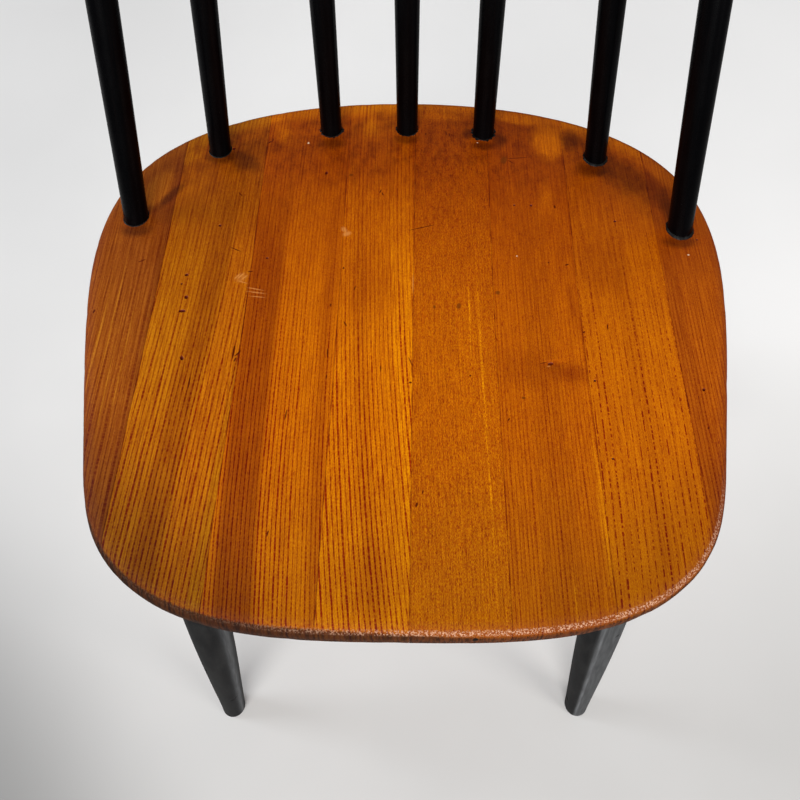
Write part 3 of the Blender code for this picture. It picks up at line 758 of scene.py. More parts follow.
def make_board(name, cutters):
    """One board: its slice of the blank, its holes and its marks."""
    left, right = board_sides(name)
    bm = seat_blank()
    right_way = Vector((math.cos(GRAIN_TURN), -math.sin(GRAIN_TURN), 0.0))
    if left > -half_width + 2 * FIT_GAP:
        saw(bm, Vector((left - FIT_GAP / 2 + JOINT_GAP / 2, 0.0, 0.0)), -right_way)
    if right < half_width - 2 * FIT_GAP:
        saw(bm, Vector((right + FIT_GAP / 2 - JOINT_GAP / 2, 0.0, 0.0)), right_way)
    for mark in MARKS:
        if mark[0] in CUT_DEPTH and left < mark[1] / 1000 < right:
            split_near(bm, mark)
    board = as_object(f"{name}_varnished", bm, seat_frame)
    cut_holes(board, operand_type='COLLECTION', collection=cutters)
    cut_marks(board.data)
    measure_edge(board.data)
    shade(board.data)
    return board


boards = {name: make_board(name, cutters) for name in BOARD_NAMES}
clear_away(cutters)
print("boards", {name: len(board.data.polygons) for name, board in boards.items()})

# %% [markdown]
# Every mark is coloured through one node group. It moves the place into the ellipse of the mark,
# where the edge is at length one, frays that edge with noise, and gives a mask. A stain has a soft
# edge and a pit a hard one, so softness and fraying are inputs.

# %% Node group: one mark
def mark_group():
    inputs = [("Place", "Vector", (0, 0, 0)), ("Middle", "Vector", (0, 0, 0)),
              ("Half size", "Vector", (1, 1, 1)), ("Turn", "Vector", (0, 0, 0)),
              ("Fray", "Float", 0.3), ("Fray size", "Float", 0.5), ("Softness", "Float", 0.3)]
    group, recipe, come_in, go_out = new_group("mark_on_a_surface", inputs, [("Mask", "Float")])
    ellipse = {"Vector": come_in["Place"], "Location": come_in["Middle"],
               "Rotation": come_in["Turn"], "Scale": come_in["Half size"]}
    local = recipe.add("ShaderNodeMapping", ellipse, vector_type='TEXTURE')
    far = recipe.add("ShaderNodeVectorMath", (local,), 1, operation='LENGTH')
    ragged = recipe.noise(come_in["Place"], come_in["Fray size"], 3.0, 0.6)
    ragged = recipe.times(recipe.minus(ragged, 0.5), come_in["Fray"])
    edge = recipe.plus(far, ragged)
    start = recipe.minus(1.0, come_in["Softness"])
    recipe.feed(go_out["Mask"], recipe.step(edge, start, 1.0, 1.0, 0.0))
    return group


MARK_GROUP = mark_group()
print("group", MARK_GROUP.name)

# %% [markdown]
# Sawn softwood shows its growth rings as lines. Each ring is pale where it grew in spring and ends
# in a thin dark line of summer wood. The lines are a repeating ramp across the board, bent by slow
# noise so that they wander, leaned as the board was sawn, and broken into dashes where the pores
# show. Every ring draws its own strength from a random number, so no two lines are alike.

# %% Node group: growth rings
# How far, in millimetres, a ring's wander keeps its course across and along the board, how fine the
# fibres are that fray it, and how long its line keeps its strength
WANDER_ACROSS, WANDER_ALONG = 60.0, 240.0
FIBRE_STRETCH, FIBRE_FRAY = (0.9, 0.05, 0.9), 0.8
FADE_LENGTH = 34.0
# A ring's dark line ends here, as a share of the ring
LINE_END = 0.92


def ring_group():
    inputs = [("Place", "Vector", (0, 0, 0)), ("Spacing", "Float", 2.7), ("Thickness", "Float", 0.3),
              ("Lean", "Float", 0.0), ("Lean growth", "Float", 0.0), ("Wander", "Float", 1.5),
              ("Uneven", "Float", 0.6), ("Broken", "Float", 0.3), ("Dash", "Float", 1.6),
              ("Seed", "Float", 0.0)]
    outputs = [("Line", "Float"), ("Across", "Float")]
    group, recipe, come_in, go_out = new_group("growth_rings", inputs, outputs)
    place, seed = come_in["Place"], come_in["Seed"]
    x, y, _ = recipe.axes(place)
    forward = recipe.times(y, -1.0)
    growth = recipe.times(recipe.times(forward, forward), 0.005)
    lean = recipe.plus(recipe.times(forward, come_in["Lean"]),
                       recipe.times(growth, come_in["Lean growth"]))
    slow = recipe.vector(recipe.over(x, WANDER_ACROSS), recipe.over(y, WANDER_ALONG), seed)
    slow = recipe.minus(recipe.noise(slow, 1.0, 2.0), 0.5)
    slow = recipe.times(slow, recipe.times(come_in["Wander"], 2.0))
    fibre = recipe.noise(recipe.stretch(place, FIBRE_STRETCH), 1.0, 2.0)
    fibre = recipe.times(recipe.minus(fibre, 0.5), FIBRE_FRAY)
    across = recipe.plus(recipe.minus(x, lean), slow)
    turns = recipe.over(recipe.plus(across, fibre), come_in["Spacing"])
    uneven = recipe.add("ShaderNodeTexNoise", {"W": recipe.plus(turns, seed), "Scale": 0.37,
                                               "Detail": 1.0}, noise_dimensions='1D')
    turns = recipe.plus(turns, recipe.times(recipe.minus(uneven, 0.5), come_in["Uneven"]))

    ring = recipe.plus(recipe.maths('FLOOR', turns), seed)
    chance = recipe.add("ShaderNodeTexWhiteNoise", {"W": ring}, noise_dimensions='1D')
    thick = recipe.times(come_in["Thickness"], recipe.step(chance, 0.0, 1.0, 0.7, 1.25))
    share = recipe.maths('FRACT', turns)
    start = recipe.minus(LINE_END, thick)
    rise = recipe.step(share, recipe.minus(start, 0.08), recipe.plus(start, 0.06))
    fall = recipe.step(share, LINE_END - 0.02, 1.0, 1.0, 0.0)

    along = recipe.times(ring, 7.3)
    dash = recipe.vector(along, recipe.over(y, come_in["Dash"]), 0.0)
    dash = recipe.step(recipe.noise(dash, 1.0, 2.0), 0.42, 0.56)
    gaps = recipe.times(recipe.minus(1.0, dash), come_in["Broken"])
    fade = recipe.vector(along, recipe.over(y, FADE_LENGTH), 4.0)
    fade = recipe.step(recipe.noise(fade, 1.0, 2.0), 0.30, 0.62, 0.65, 1.0)
    strength = recipe.times(recipe.step(chance, 0.0, 1.0, 0.72, 1.0), fade)
    strength = recipe.times(strength, recipe.minus(1.0, gaps))
    line = recipe.times(recipe.times(rise, fall), strength)
    recipe.feed(go_out["Line"], line)
    recipe.feed(go_out["Across"], across)
    return group


RING_GROUP = ring_group()
print("group", RING_GROUP.name)

# %% [markdown]
# Between the lines the wood is full of pores, short dark strokes a third of a millimetre wide that
# run with the grain. They are stretched noise, cut off high so that only the peaks are left.

# %% Node group: pores
# A peak of the noise is about this share of its cell
NOISE_CELL = 0.7


def pore_group():
    inputs = [("Place", "Vector", (0, 0, 0)), ("Width", "Float", 0.35), ("Length", "Float", 3.0),
              ("Density", "Float", 0.3), ("Seed", "Float", 0.0)]
    outputs = [("Pore", "Float"), ("Fibre", "Float"), ("Fleck", "Float")]
    group, recipe, come_in, go_out = new_group("pores", inputs, outputs)
    place = come_in["Place"]
    wide, long = (recipe.over(NOISE_CELL, come_in[size]) for size in ("Width", "Length"))
    cells = recipe.stretch(place, recipe.vector(wide, long, wide))
    shift = recipe.vector(0.0, 0.0, recipe.times(come_in["Seed"], 9.1))
    peaks = recipe.noise(recipe.add("ShaderNodeVectorMath", (cells, shift), operation='ADD'), 1.0, 1.0)
    low = recipe.minus(0.78, recipe.times(come_in["Density"], 0.4))
    fibre = recipe.noise(recipe.stretch(place, (1.1, 0.03, 1.1)), 1.0, 3.0, 0.65)
    fleck = recipe.noise(recipe.stretch(place, (2.6, 0.75, 2.6)), 1.0, 3.0, 0.7)
    recipe.feed(go_out["Pore"], recipe.step(peaks, low, recipe.plus(low, 0.07)))
    recipe.feed(go_out["Fibre"], fibre)
    recipe.feed(go_out["Fleck"], fleck)
    return group


PORE_GROUP = pore_group()
print("group", PORE_GROUP.name)

# %% [markdown]
# Each kind of mark has a look of its own. Some are paint laid on top, as a scuff is. Some only shade
# the wood below, as a stain does; a painted sheen lightens it in the same way, and a painted shade
# beside the knot darkens it. And rubbed places have no colour at all: they hold back the darkening
# that age brings, because hands have kept the varnish clean there, and along the right rim that
# lighter wood is a painted sheen.

# %% Looks of the marks
# Each kind of mark: its colour, how much of it shows, how frayed its edge is, how fine, how soft
MARK_LOOKS = {
    "pit": (paint(84, 14, 2), 0.98, 0.25, 0.8, 0.15),
    "chip": (paint(10, 6, 5), 0.96, 0.60, 0.9, 0.25),
    "dent": (paint(140, 50, 2), 0.30, 0.30, 0.3, 0.80),
    "scratch": (paint(88, 20, 0), 0.95, 0.40, 0.9, 0.25),
    "smudge": (paint(110, 50, 4), 0.75, 0.50, 0.4, 0.50),
    "scuff": (paint(224, 146, 72), 0.60, 0.90, 0.9, 0.70),
    "bloom": (paint(214, 140, 66), 0.30, 0.90, 0.6, 0.80),
    "speck": (paint(245, 215, 180), 0.90, 0.20, 0.9, 0.30),
    "stain": (tint(0.42, 0.38, 0.60), 0.90, 0.70, 0.09, 0.70),
    "bruise": (tint(0.60, 0.42, 0.40), 0.90, 0.40, 0.12, 0.85),
    "shade": (tint(0.80, 0.71, 0.66), 0.90, 0.60, 0.05, 0.90),
    "streak": (tint(1.40, 1.85, 1.60), 0.80, 0.50, 0.30, 0.70),
    "faded": (tint(1.22, 1.30, 1.10), 0.80, 0.80, 0.10, 0.60),
    "rubbed_and_sheen": (None, 0.60, 0.70, 0.09, 0.90),
    "bared": (None, 0.95, 0.80, 0.10, 0.60),
}
SHADING_MARKS = ("stain", "bruise", "shade", "streak", "faded")
LIFTING_MARKS = ("rubbed_and_sheen", "bared")
CHIP_HEIGHT = -5.5
MARK_REACH = 60.0


def half_across(mark):
    """How far a mark reaches to the left and right of its middle, with room for its fray."""
    _, _, _, length, width, turn = mark
    return 0.65 * max(length * abs(math.cos(math.radians(turn))), width) + 1.0


def place_mark(recipe, place, mark):
    """The mask of one mark. The chip sits in the edge, and the rest reach through the whole top."""
    kind, x, y, length, width, turn = mark
    _, _, fray, fray_size, softness = MARK_LOOKS[kind]
    height, half_high = (CHIP_HEIGHT, length / 2) if kind == "chip" else (0.0, MARK_REACH)
    node = recipe.group(MARK_GROUP, place=place, middle=(x, y, height),
                        turn=(0.0, 0.0, math.radians(turn)),
                        half_size=(length / 2, width / 2, half_high),
                        fray=fray, fray_size=fray_size, softness=softness)
    return node.outputs["Mask"]


print("kinds of mark:", ", ".join(MARK_LOOKS))

# %% [markdown]
# Varnish darkens with age, and most of all towards the back, where dirt stays between the spindles.
# That is one soft tint over the whole board, with blotches in it, held back at the rim and at the
# rubbed places; along the rim at the back the lighter wood is a painted sheen. The marks are laid
# over it one by one, each through its own mask.

# %% Age the wood and lay the marks
# The tint of aged varnish, also used for the painted shade on the turn of the top
AGED_AND_SHADE_TINT, BLOTCH_TINT = tint(0.62, 0.45, 0.60), tint(0.60, 0.50, 0.70)
FRONT_TINT, CORNER_TINT = tint(0.74, 0.88, 0.85), tint(0.58, 0.54, 0.70)
# Where each of them comes in, in millimetres from the seat's middle towards the back
AGED_STARTS, BLOTCH_STARTS, FRONT_ENDS = (-50.0, 150.0), (80.0, 150.0), (-200.0, -70.0)
CORNER_STARTS = (225.0, 320.0)
# How far the ageing wanders, and where a painted sheen along the rim at the back holds it back
MOTTLE = 70.0
RIM_ENDS, RIM_STARTS_BACK, RIM_SHEEN = (6.0, 20.0), (50.0, 120.0), 0.85


def ageing_share(recipe, y, marks, masks):
    """One where the varnish has aged freely, less at the rubbed places, and less at the back rim, where
    a painted sheen lightens the wood.
    """
    kept = 1.0
    for mark, mask in zip(marks, masks):
        if mark[0] in LIFTING_MARKS:
            kept = recipe.times(kept, recipe.minus(1.0, mask))
    rim = recipe.times(recipe.step(recipe.measured("from_edge"), *RIM_ENDS, 1.0, 0.0),
                       recipe.step(y, *RIM_STARTS_BACK, 0.0, RIM_SHEEN))
    return recipe.times(kept, recipe.minus(1.0, rim))


def age_and_mark(recipe, place, colour, sides):
    """Darken the wood towards the back, then lay every mark of this board over it."""
    x, y, _ = recipe.axes(place)
    left, right = sides
    marks = [mark for mark in MARKS if mark[0] != "chip"
             and left * 1000 - half_across(mark) < mark[1] < right * 1000 + half_across(mark)]
    masks = [recipe.times(place_mark(recipe, place, mark), MARK_LOOKS[mark[0]][1]) for mark in marks]
    kept = ageing_share(recipe, y, marks, masks)
    mottle = recipe.noise(recipe.stretch(place, (0.05, 0.025, 0.05)), 1.0, 4.0, 0.6)
    back = recipe.plus(y, recipe.times(recipe.minus(mottle, 0.5), MOTTLE))
    aged = recipe.times(recipe.step(back, *AGED_STARTS), kept)
    colour = recipe.mix(aged, colour, AGED_AND_SHADE_TINT, 'MULTIPLY')
    colour = recipe.mix(recipe.step(y, *FRONT_ENDS, 1.0, 0.0), colour, FRONT_TINT, 'MULTIPLY')
    corner = recipe.step(recipe.minus(recipe.maths('ABSOLUTE', x), y), *CORNER_STARTS)
    corner = recipe.times(corner, recipe.step(x, -60.0, 60.0, 1.0, 0.4))
    colour = recipe.mix(corner, colour, CORNER_TINT, 'MULTIPLY')
    blotch = recipe.noise(recipe.stretch(place, (0.14, 0.09, 0.14)), 1.0, 4.0, 0.65)
    blotch = recipe.times(recipe.step(blotch, 0.38, 0.68),
                          recipe.step(back, *BLOTCH_STARTS, 0.12, 0.85))
    colour = recipe.mix(recipe.times(blotch, kept), colour, BLOTCH_TINT, 'MULTIPLY')
    for mark, mask in zip(marks, masks):
        if mark[0] not in LIFTING_MARKS:
            blend = 'MULTIPLY' if mark[0] in SHADING_MARKS else 'MIX'
            colour = recipe.mix(mask, colour, MARK_LOOKS[mark[0]][0], blend)
    return colour


print("ageing starts", AGED_STARTS, "mm from the middle")

# %% [markdown]
# The edge is darker than the top, because end grain drinks more varnish. Along the front arris,
# which sitting down rubs every time, the varnish is worn to a pale, broken line, which is also a
# painted highlight. Where the top turns down to the front edge, a painted shade darkens it. All of
# these follow the distance from the outline that each point of the mesh carries, so they hug the
# seat's real edge.

# %% Finish the glue lines and the edge
GLUE_TINT, EDGE_LEFT_TINT = tint(0.50, 0.24, 0.20), tint(0.42, 0.42, 0.40)
EDGE_DARK, EDGE_PALE = paint(28, 11, 3), paint(82, 42, 16)
RUBBED_ARRIS, WORN_AND_HIGHLIT_ARRIS = paint(120, 58, 28), paint(226, 180, 148)
# Half width of a glue line's dark core and of its soft rim, in millimetres
GLUE_CORE, GLUE_LINE = 0.12, 0.40
# Distances from the outline, in millimetres: end grain, worn and highlit arris, painted shade on the
# turn of the top
END_GRAIN_ENDS, ARRIS_STARTS, ARRIS_ENDS = (0.2, 1.8), (1.2, 2.2), (3.2, 4.8)
TURN_ENDS, DULL_ENDS = (2.0, 8.5), (4.0, 10.0)
# How much wider the dark edge is at the left of the front
LEFT_WIDER = 2.6


def glue_lines(recipe, x, y, place, colour, sides):
    """Darken the wood along the glue lines at the two sides of a board."""
    unturned = recipe.minus(x, recipe.times(y, math.sin(GRAIN_TURN)))
    patchy = recipe.noise(recipe.stretch(place, (0.2, 0.06, 0.2)), 1.0, 3.0)
    patchy = recipe.step(patchy, 0.42, 0.66, 0.15, 1.0)
    for side in sides:
        if abs(side) < half_width - 2 * FIT_GAP:
            far = recipe.maths('ABSOLUTE', recipe.minus(unturned, side * 1000))
            glue = recipe.times(recipe.step(far, GLUE_CORE, GLUE_LINE, 1.0, 0.0), patchy)
            colour = recipe.mix(glue, colour, GLUE_TINT, 'MULTIPLY')
    return colour


def edge_and_glue(recipe, place, colour, fibre, sides):
    """Darken the glue lines and the edge, paint shade where the top turns down, wear the front arris
    and paint a highlight on it; gives back colour and dullness.
    """
    x, y, z = recipe.axes(place)
    colour = glue_lines(recipe, x, y, place, colour, sides)
    from_edge = recipe.measured("from_edge")
    above = recipe.step(z, -19.5, -18.0)
    # A painted shade where the top turns down to the edge, strongest at the front
    turn_shade = recipe.times(recipe.step(from_edge, *TURN_ENDS, 0.55, 0.0), above)
    turn_shade = recipe.times(turn_shade, recipe.step(y, -40.0, 80.0, 1.0, 0.15))
    colour = recipe.mix(turn_shade, colour, AGED_AND_SHADE_TINT, 'MULTIPLY')
    front_left = recipe.times(recipe.step(x, -60.0, 60.0, 1.0, 0.0),
                              recipe.step(y, -170.0, -120.0, 1.0, 0.0))
    ragged = recipe.plus(from_edge, recipe.times(recipe.minus(fibre, 0.5), 3.0))
    ragged = recipe.minus(ragged, recipe.times(front_left, LEFT_WIDER))
    edge = recipe.times(recipe.step(ragged, *END_GRAIN_ENDS, 1.0, 0.0), above)
    ticks = recipe.noise(recipe.stretch(place, (0.75, 0.08, 0.12)), 1.0, 2.0)
    end_grain = recipe.mix(recipe.step(ticks, 0.38, 0.62), EDGE_DARK, EDGE_PALE)
    end_grain = recipe.mix(front_left, end_grain, EDGE_LEFT_TINT, 'MULTIPLY')
    colour = recipe.mix(recipe.times(edge, 0.92), colour, end_grain)
    arris = recipe.times(recipe.step(from_edge, *ARRIS_STARTS),
                         recipe.step(from_edge, *ARRIS_ENDS, 1.0, 0.0))
    arris = recipe.times(arris, recipe.step(y, -140.0, -100.0, 1.0, 0.0))
    arris = recipe.times(arris, recipe.step(x, -110.0, 50.0, 0.05, 1.0))
    arris = recipe.times(arris, above)
    colour = recipe.mix(recipe.times(arris, 0.35), colour, RUBBED_ARRIS)
    # The pale broken line on the front arris: worn varnish, and a painted highlight
    broken = recipe.step(recipe.noise(place, 0.95, 3.0, 0.75), 0.49, 0.58)
    worn_and_highlit = recipe.times(arris, broken)
    colour = recipe.mix(recipe.times(worn_and_highlit, 0.72), colour, WORN_AND_HIGHLIT_ARRIS)
    return colour, recipe.step(from_edge, *DULL_ENDS, 1.0, 0.0)


print("worn arris", ARRIS_STARTS[0], "to", ARRIS_ENDS[1], "mm from the outline")

# %% [markdown]
# The finish of a board is mixed in the order in which it came about: the wood's own colour with its
# broad bands, the ring lines and pores, the darkening towards the back where the varnish has aged,
# the stains, the scratches and pits, and last the edge and the chip in it.

# %% Finish for one board
LINE_TINT, PORE_TINT = tint(0.40, 0.03, 0.03), tint(0.50, 0.14, 0.12)
FLECK_TINT = tint(0.68, 0.38, 0.34)
# The ring lines are strongest at the front, where the varnish has worn, and faint at the back
LINES_FADE, LINES_FRONT, LINES_BACK, LINES_MOST = (-140.0, 100.0), 1.50, 0.60, 0.94
BAND_FRAY, BAND_SOFT, BAND_FADES = 7.0, 2.5, (30.0, 130.0)
VARNISH_SHINE = 0.13


def band_mask(recipe, across, fibre, y, middle, width):
    """A broad band along the grain. Its edges run out into the fibre, and it fades to the back."""
    far = recipe.maths('ABSOLUTE', recipe.minus(across, middle))
    far = recipe.plus(far, recipe.times(recipe.minus(fibre, 0.5), BAND_FRAY))
    band = recipe.step(far, width / 2 - BAND_SOFT, width / 2 + BAND_SOFT, 1.0, 0.0)
    return recipe.times(band, recipe.step(y, *BAND_FADES, 1.0, 0.15))


def bare_wood(recipe, y, look, rings, pores):
    """The wood under the varnish: ground colour, bands, flecks, ring lines and pores."""
    line, across = rings["Line"], rings["Across"]
    pore, fibre, fleck = pores["Pore"], pores["Fibre"], pores["Fleck"]
    colour = recipe.mix(recipe.step(fibre, 0.32, 0.68), look["bright"], look["shade"])
    for middle, width, shade_tint in look["bands"]:
        band = band_mask(recipe, across, fibre, y, middle, width)
        colour = recipe.mix(band, colour, shade_tint, 'MULTIPLY')
    flecked = recipe.times(recipe.step(fleck, 0.40, 0.60), look["flecks"])
    colour = recipe.mix(flecked, colour, FLECK_TINT, 'MULTIPLY')
    drawn = recipe.times(line, recipe.step(y, *LINES_FADE, LINES_FRONT, LINES_BACK))
    drawn = recipe.maths('MINIMUM', recipe.times(drawn, look["strength"]), LINES_MOST)
    colour = recipe.mix(drawn, colour, LINE_TINT, 'MULTIPLY')
    return recipe.mix(recipe.times(pore, look["pore_strength"]), colour, PORE_TINT, 'MULTIPLY')


def board_finish(name, sides, look):
    """The varnished wood of one board; look holds its colours, its rings and its broad bands."""
    material, recipe, shader = new_material(f"{name}_varnish")
    place = recipe.own_place()
    y = recipe.axes(place)["Y"]
    rings = recipe.group(RING_GROUP, place=place, **{
        key: look[key] for key in ("spacing", "thickness", "lean", "lean_growth", "wander",
                                   "uneven", "broken", "dash", "seed")}).outputs
    pores = recipe.group(PORE_GROUP, place=place, width=look["pore_width"],
                         length=look["pore_length"], density=look["pores"],
                         seed=look["seed"]).outputs
    colour = bare_wood(recipe, y, look, rings, pores)
    colour = age_and_mark(recipe, place, colour, sides)
    colour, dull = edge_and_glue(recipe, place, colour, pores["Fibre"], sides)
    for mark in MARKS:
        if mark[0] == "chip" and sides[0] < mark[1] / 1000 < sides[1]:
            colour = recipe.mix(place_mark(recipe, place, mark), colour, MARK_LOOKS["chip"][0])
    recipe.feed(shader["Base Color"], colour)
    gloss = recipe.step(recipe.noise(place, 0.25, 3.0), 0.3, 0.7, 0.34, 0.44)
    recipe.feed(shader["Roughness"], recipe.plus(gloss, recipe.times(dull, 0.4)))
    shader["Specular IOR Level"].default_value = VARNISH_SHINE
    relief = recipe.minus(recipe.times(rings["Line"], 0.35), pores["Pore"])
    relief = recipe.plus(relief, recipe.times(pores["Fibre"], 0.4))
    bump = recipe.add("ShaderNodeBump", {"Strength": 0.25, "Distance": 0.0002, "Height": relief})
    recipe.feed(shader["Normal"], bump)
    return material


print("ring lines", LINES_FRONT, "strong at the front,", LINES_BACK, "at the back")

# %% [markdown]
# Eight boards, eight looks. Widths between lines, the strength of the lines and the ground colour
# differ from board to board, because they were sawn from different planks. Only what differs from
# the usual plank is written down for each.

# %% Dress the boards
USUAL_PLANK = {
    "bright": paint(236, 137, 0), "shade": paint(204, 108, 0), "spacing": 2.7, "thickness": 0.27,
    "strength": 0.85, "lean": 0.0, "lean_growth": 0.0, "wander": 1.2, "uneven": 0.25, "broken": 0.5,
    "dash": 1.6, "pores": 0.26, "pore_width": 0.45, "pore_length": 3.0, "pore_strength": 0.6,
    "flecks": 0.7, "bands": [], "seed": 1.0,
}
DARK, DEEP = tint(0.80, 0.70, 0.7), tint(0.60, 0.46, 0.6)
PLANKS = [
    {"bright": paint(184, 108, 26), "shade": paint(150, 75, 8), "spacing": 3.3, "thickness": 0.34,
     "strength": 0.62, "wander": 2.5, "uneven": 0.5, "seed": 1.0,
     "bands": [(-163.5, 5.0, tint(0.80, 0.74, 0.7))]},
    {"bright": paint(214, 137, 8), "shade": paint(182, 103, 2), "spacing": 2.85, "thickness": 0.28,
     "strength": 0.9, "lean": -0.055, "seed": 2.0,
     "bands": [(-130.5, 14.0, DARK), (-112.0, 17.0, tint(1.08, 0.97, 1.0))]},
    {"bright": paint(232, 135, 0), "shade": paint(206, 110, 0), "spacing": 2.4, "strength": 0.9,
     "lean_growth": 0.03, "seed": 3.0, "bands": [(-93.5, 21.0, DEEP), (-51.0, 7.0, DARK)]},
    {"bright": paint(244, 149, 0), "shade": paint(214, 116, 0), "spacing": 2.75, "thickness": 0.27,
     "strength": 1.0, "lean": 0.05, "lean_growth": 0.04, "uneven": 0.15, "seed": 4.0,
     "bands": [(-1.0, 15.0, tint(1.12, 1.24, 1.0)), (-30.0, 9.0, tint(0.90, 0.86, 0.9))]},
    {"bright": paint(225, 131, 0), "shade": paint(199, 107, 0), "spacing": 2.2, "strength": 0.25,
     "lean": 0.04, "pores": 0.46, "pore_width": 0.36, "pore_length": 2.4, "pore_strength": 0.65,
     "flecks": 1.0, "seed": 5.0},
    {"bright": paint(216, 119, 0), "shade": paint(190, 95, 0), "spacing": 2.3, "strength": 0.5,
     "pores": 0.34, "seed": 6.0,
     "bands": [(86.0, 20.0, tint(0.90, 0.87, 0.8))]},
    {"bright": paint(222, 128, 0), "shade": paint(196, 102, 0), "spacing": 3.95, "thickness": 0.15,
     "strength": 0.9, "lean": 0.01, "lean_growth": -0.03, "uneven": 0.1, "broken": 0.9, "dash": 2.6,
     "wander": 0.8, "seed": 7.0, "bands": [(143.0, 10.0, tint(0.92, 0.89, 0.9))]},
    {"bright": paint(204, 110, 8), "shade": paint(174, 83, 2), "spacing": 2.3, "strength": 0.55,
     "seed": 8.0, "bands": [(175.0, 8.0, tint(0.88, 0.84, 0.9))]},
]
for name, differences in zip(BOARD_NAMES, PLANKS):
    finish = board_finish(name, board_sides(name), {**USUAL_PLANK, **differences})
    fit_piece(boards[name], finish, "seat_wood", name)
print("boards dressed:", len(boards))

# %% [markdown]
# Spindles and legs are painted satin black. Paint on a used chair is never one black: handling
# polishes it, brown wood shows faintly through thin paint, dust greys it in soft clouds, and knocks
# leave small chips. One node group holds all of this, and the spindles, the legs, the rail and the
# battens each place it with their own amounts.

# %% Node group: used black paint
PLAIN_BLACK, BROWN_THROUGH = paint(12, 12, 13), paint(34, 15, 9)
DUST, CHIPPED_WOOD = paint(122, 122, 120), paint(120, 84, 52)


def used_paint_group():
    inputs = [("Place", "Vector", (0, 0, 0)), ("Ground", "Color", PLAIN_BLACK),
              ("Haze", "Float", 0.2), ("Streaks", "Float", 0.3), ("Chips", "Float", 0.1),
              ("Gloss", "Float", 0.3)]
    outputs = [("Colour", "Color"), ("Roughness", "Float"), ("Height", "Float")]
    group, recipe, come_in, go_out = new_group("used_black_paint", inputs, outputs)
    place = come_in["Place"]
    streak = recipe.noise(recipe.stretch(place, (0.9, 0.9, 0.02)), 1.0, 3.0, 0.6)
    streak = recipe.step(streak, 0.52, 0.74)
    streak = recipe.times(streak, come_in["Streaks"])
    colour = recipe.mix(streak, come_in["Ground"], BROWN_THROUGH)
    cloud = recipe.noise(recipe.stretch(place, (0.12, 0.12, 0.03)), 1.0, 4.0, 0.65)
    haze = recipe.times(recipe.step(cloud, 0.30, 0.70), come_in["Haze"])
    rubs = recipe.noise(recipe.stretch(place, (0.6, 0.6, 0.25)), 1.0, 5.0, 0.75)
    haze = recipe.times(haze, recipe.step(rubs, 0.25, 0.65, 0.5, 1.2))
    colour = recipe.mix(haze, colour, DUST)
    flakes = recipe.noise(recipe.stretch(place, (0.5, 0.5, 0.3)), 1.0, 2.0, 0.5)
    low = recipe.minus(0.86, recipe.times(come_in["Chips"], 0.25))
    chip = recipe.step(flakes, low, recipe.plus(low, 0.02))
    colour = recipe.mix(recipe.times(chip, 0.8), colour, CHIPPED_WOOD)
    recipe.feed(go_out["Colour"], colour)
    fine = recipe.noise(place, 1.6, 3.0, 0.6)
    rough = recipe.plus(come_in["Gloss"], recipe.times(fine, 0.10))
    rough = recipe.plus(rough, recipe.times(haze, 0.5))
    recipe.feed(go_out["Roughness"], recipe.plus(rough, recipe.times(chip, 0.3)))
    wood = recipe.noise(recipe.stretch(place, (1.2, 1.2, 0.05)), 1.0, 2.0)
    height = recipe.plus(recipe.times(wood, 0.6), recipe.times(fine, 0.2))
    recipe.feed(go_out["Height"], recipe.minus(height, chip))
    return group


USED_PAINT_GROUP = used_paint_group()
print("group", USED_PAINT_GROUP.name)

# %% [markdown]
# Each black piece gets a material of its own around that group. Two things come from the mesh
# itself: a painted highlight, a grey line in the paint along each front leg, and how deep a leg is
# nicked. Streaks in the paint run along the piece, so the rail's and the battens' paint is turned
# to run along X.

# %% The black finishes
# The grey of the painted highlight along the front legs, and the near-black inside a nick
HIGHLIGHT_GREY, NICKED_PAINT = paint(132, 134, 137), paint(4, 4, 4)


def black_finish(name, ground, haze, streaks, chips, gloss, shine=0.25, kept_solid=False,
                 grain='Z'):
    """A black painted finish; its streaks run along the piece's own Z or X axis."""
    material, recipe, shader = new_material(name)
    place = recipe.room_place() if kept_solid else recipe.own_place()
    if grain == 'X':
        place = recipe.add("ShaderNodeMapping", {"Vector": place, "Rotation": (0.0, math.pi / 2, 0.0)})
    used = recipe.group(USED_PAINT_GROUP, place=place, ground=ground, haze=haze, streaks=streaks,
                        chips=chips, gloss=gloss)
    uneven = recipe.noise(recipe.stretch(place, (0.5, 0.5, 0.04)), 1.0, 3.0)
    uneven = recipe.step(uneven, 0.3, 0.7, 0.6, 1.0)
    # A painted highlight: the paint turns grey along the line stored on the front legs' points
    rubbed_and_sheen = recipe.times(recipe.measured("rubbed_and_sheen"), uneven)
    colour = recipe.mix(rubbed_and_sheen, used.outputs["Colour"], HIGHLIGHT_GREY)
    colour = recipe.mix(recipe.measured("nick"), colour, NICKED_PAINT)
    recipe.feed(shader["Base Color"], colour)
    recipe.feed(shader["Roughness"], used.outputs["Roughness"])
    shader["Specular IOR Level"].default_value = shine
    bump = recipe.add("ShaderNodeBump", {"Strength": 0.2, "Distance": 0.0002,
                                         "Height": used.outputs["Height"]})
    recipe.feed(shader["Normal"], bump)
    return material


SPINDLE_FINISH = black_finish("spindle_black", paint(1, 1, 2), 0.004, 0.06, 0.03, 0.22, shine=0.05)
LEG_FINISH = black_finish("leg_black", paint(17, 17, 18), 0.06, 0.06, 0.20, 0.45, shine=0.02)
RAIL_FINISH = black_finish("rail_black", paint(6, 6, 7), 0.05, 0.15, 0.12, 0.20, grain='X')
BATTEN_FINISH = black_finish("batten_black", paint(16, 16, 16), 0.20, 0.20, 0.20, 0.45,
                             kept_solid=True, grain='X')
print("black finishes placed")

# %% [markdown]
# A spindle is turned: fullest a little way above the seat and slimmer towards both ends. The swell
# is part of a sine, drawn here with many rings, through the same three radii as the solid. The
# centreline comes from the solid itself, so each spindle stands exactly where its socket is.

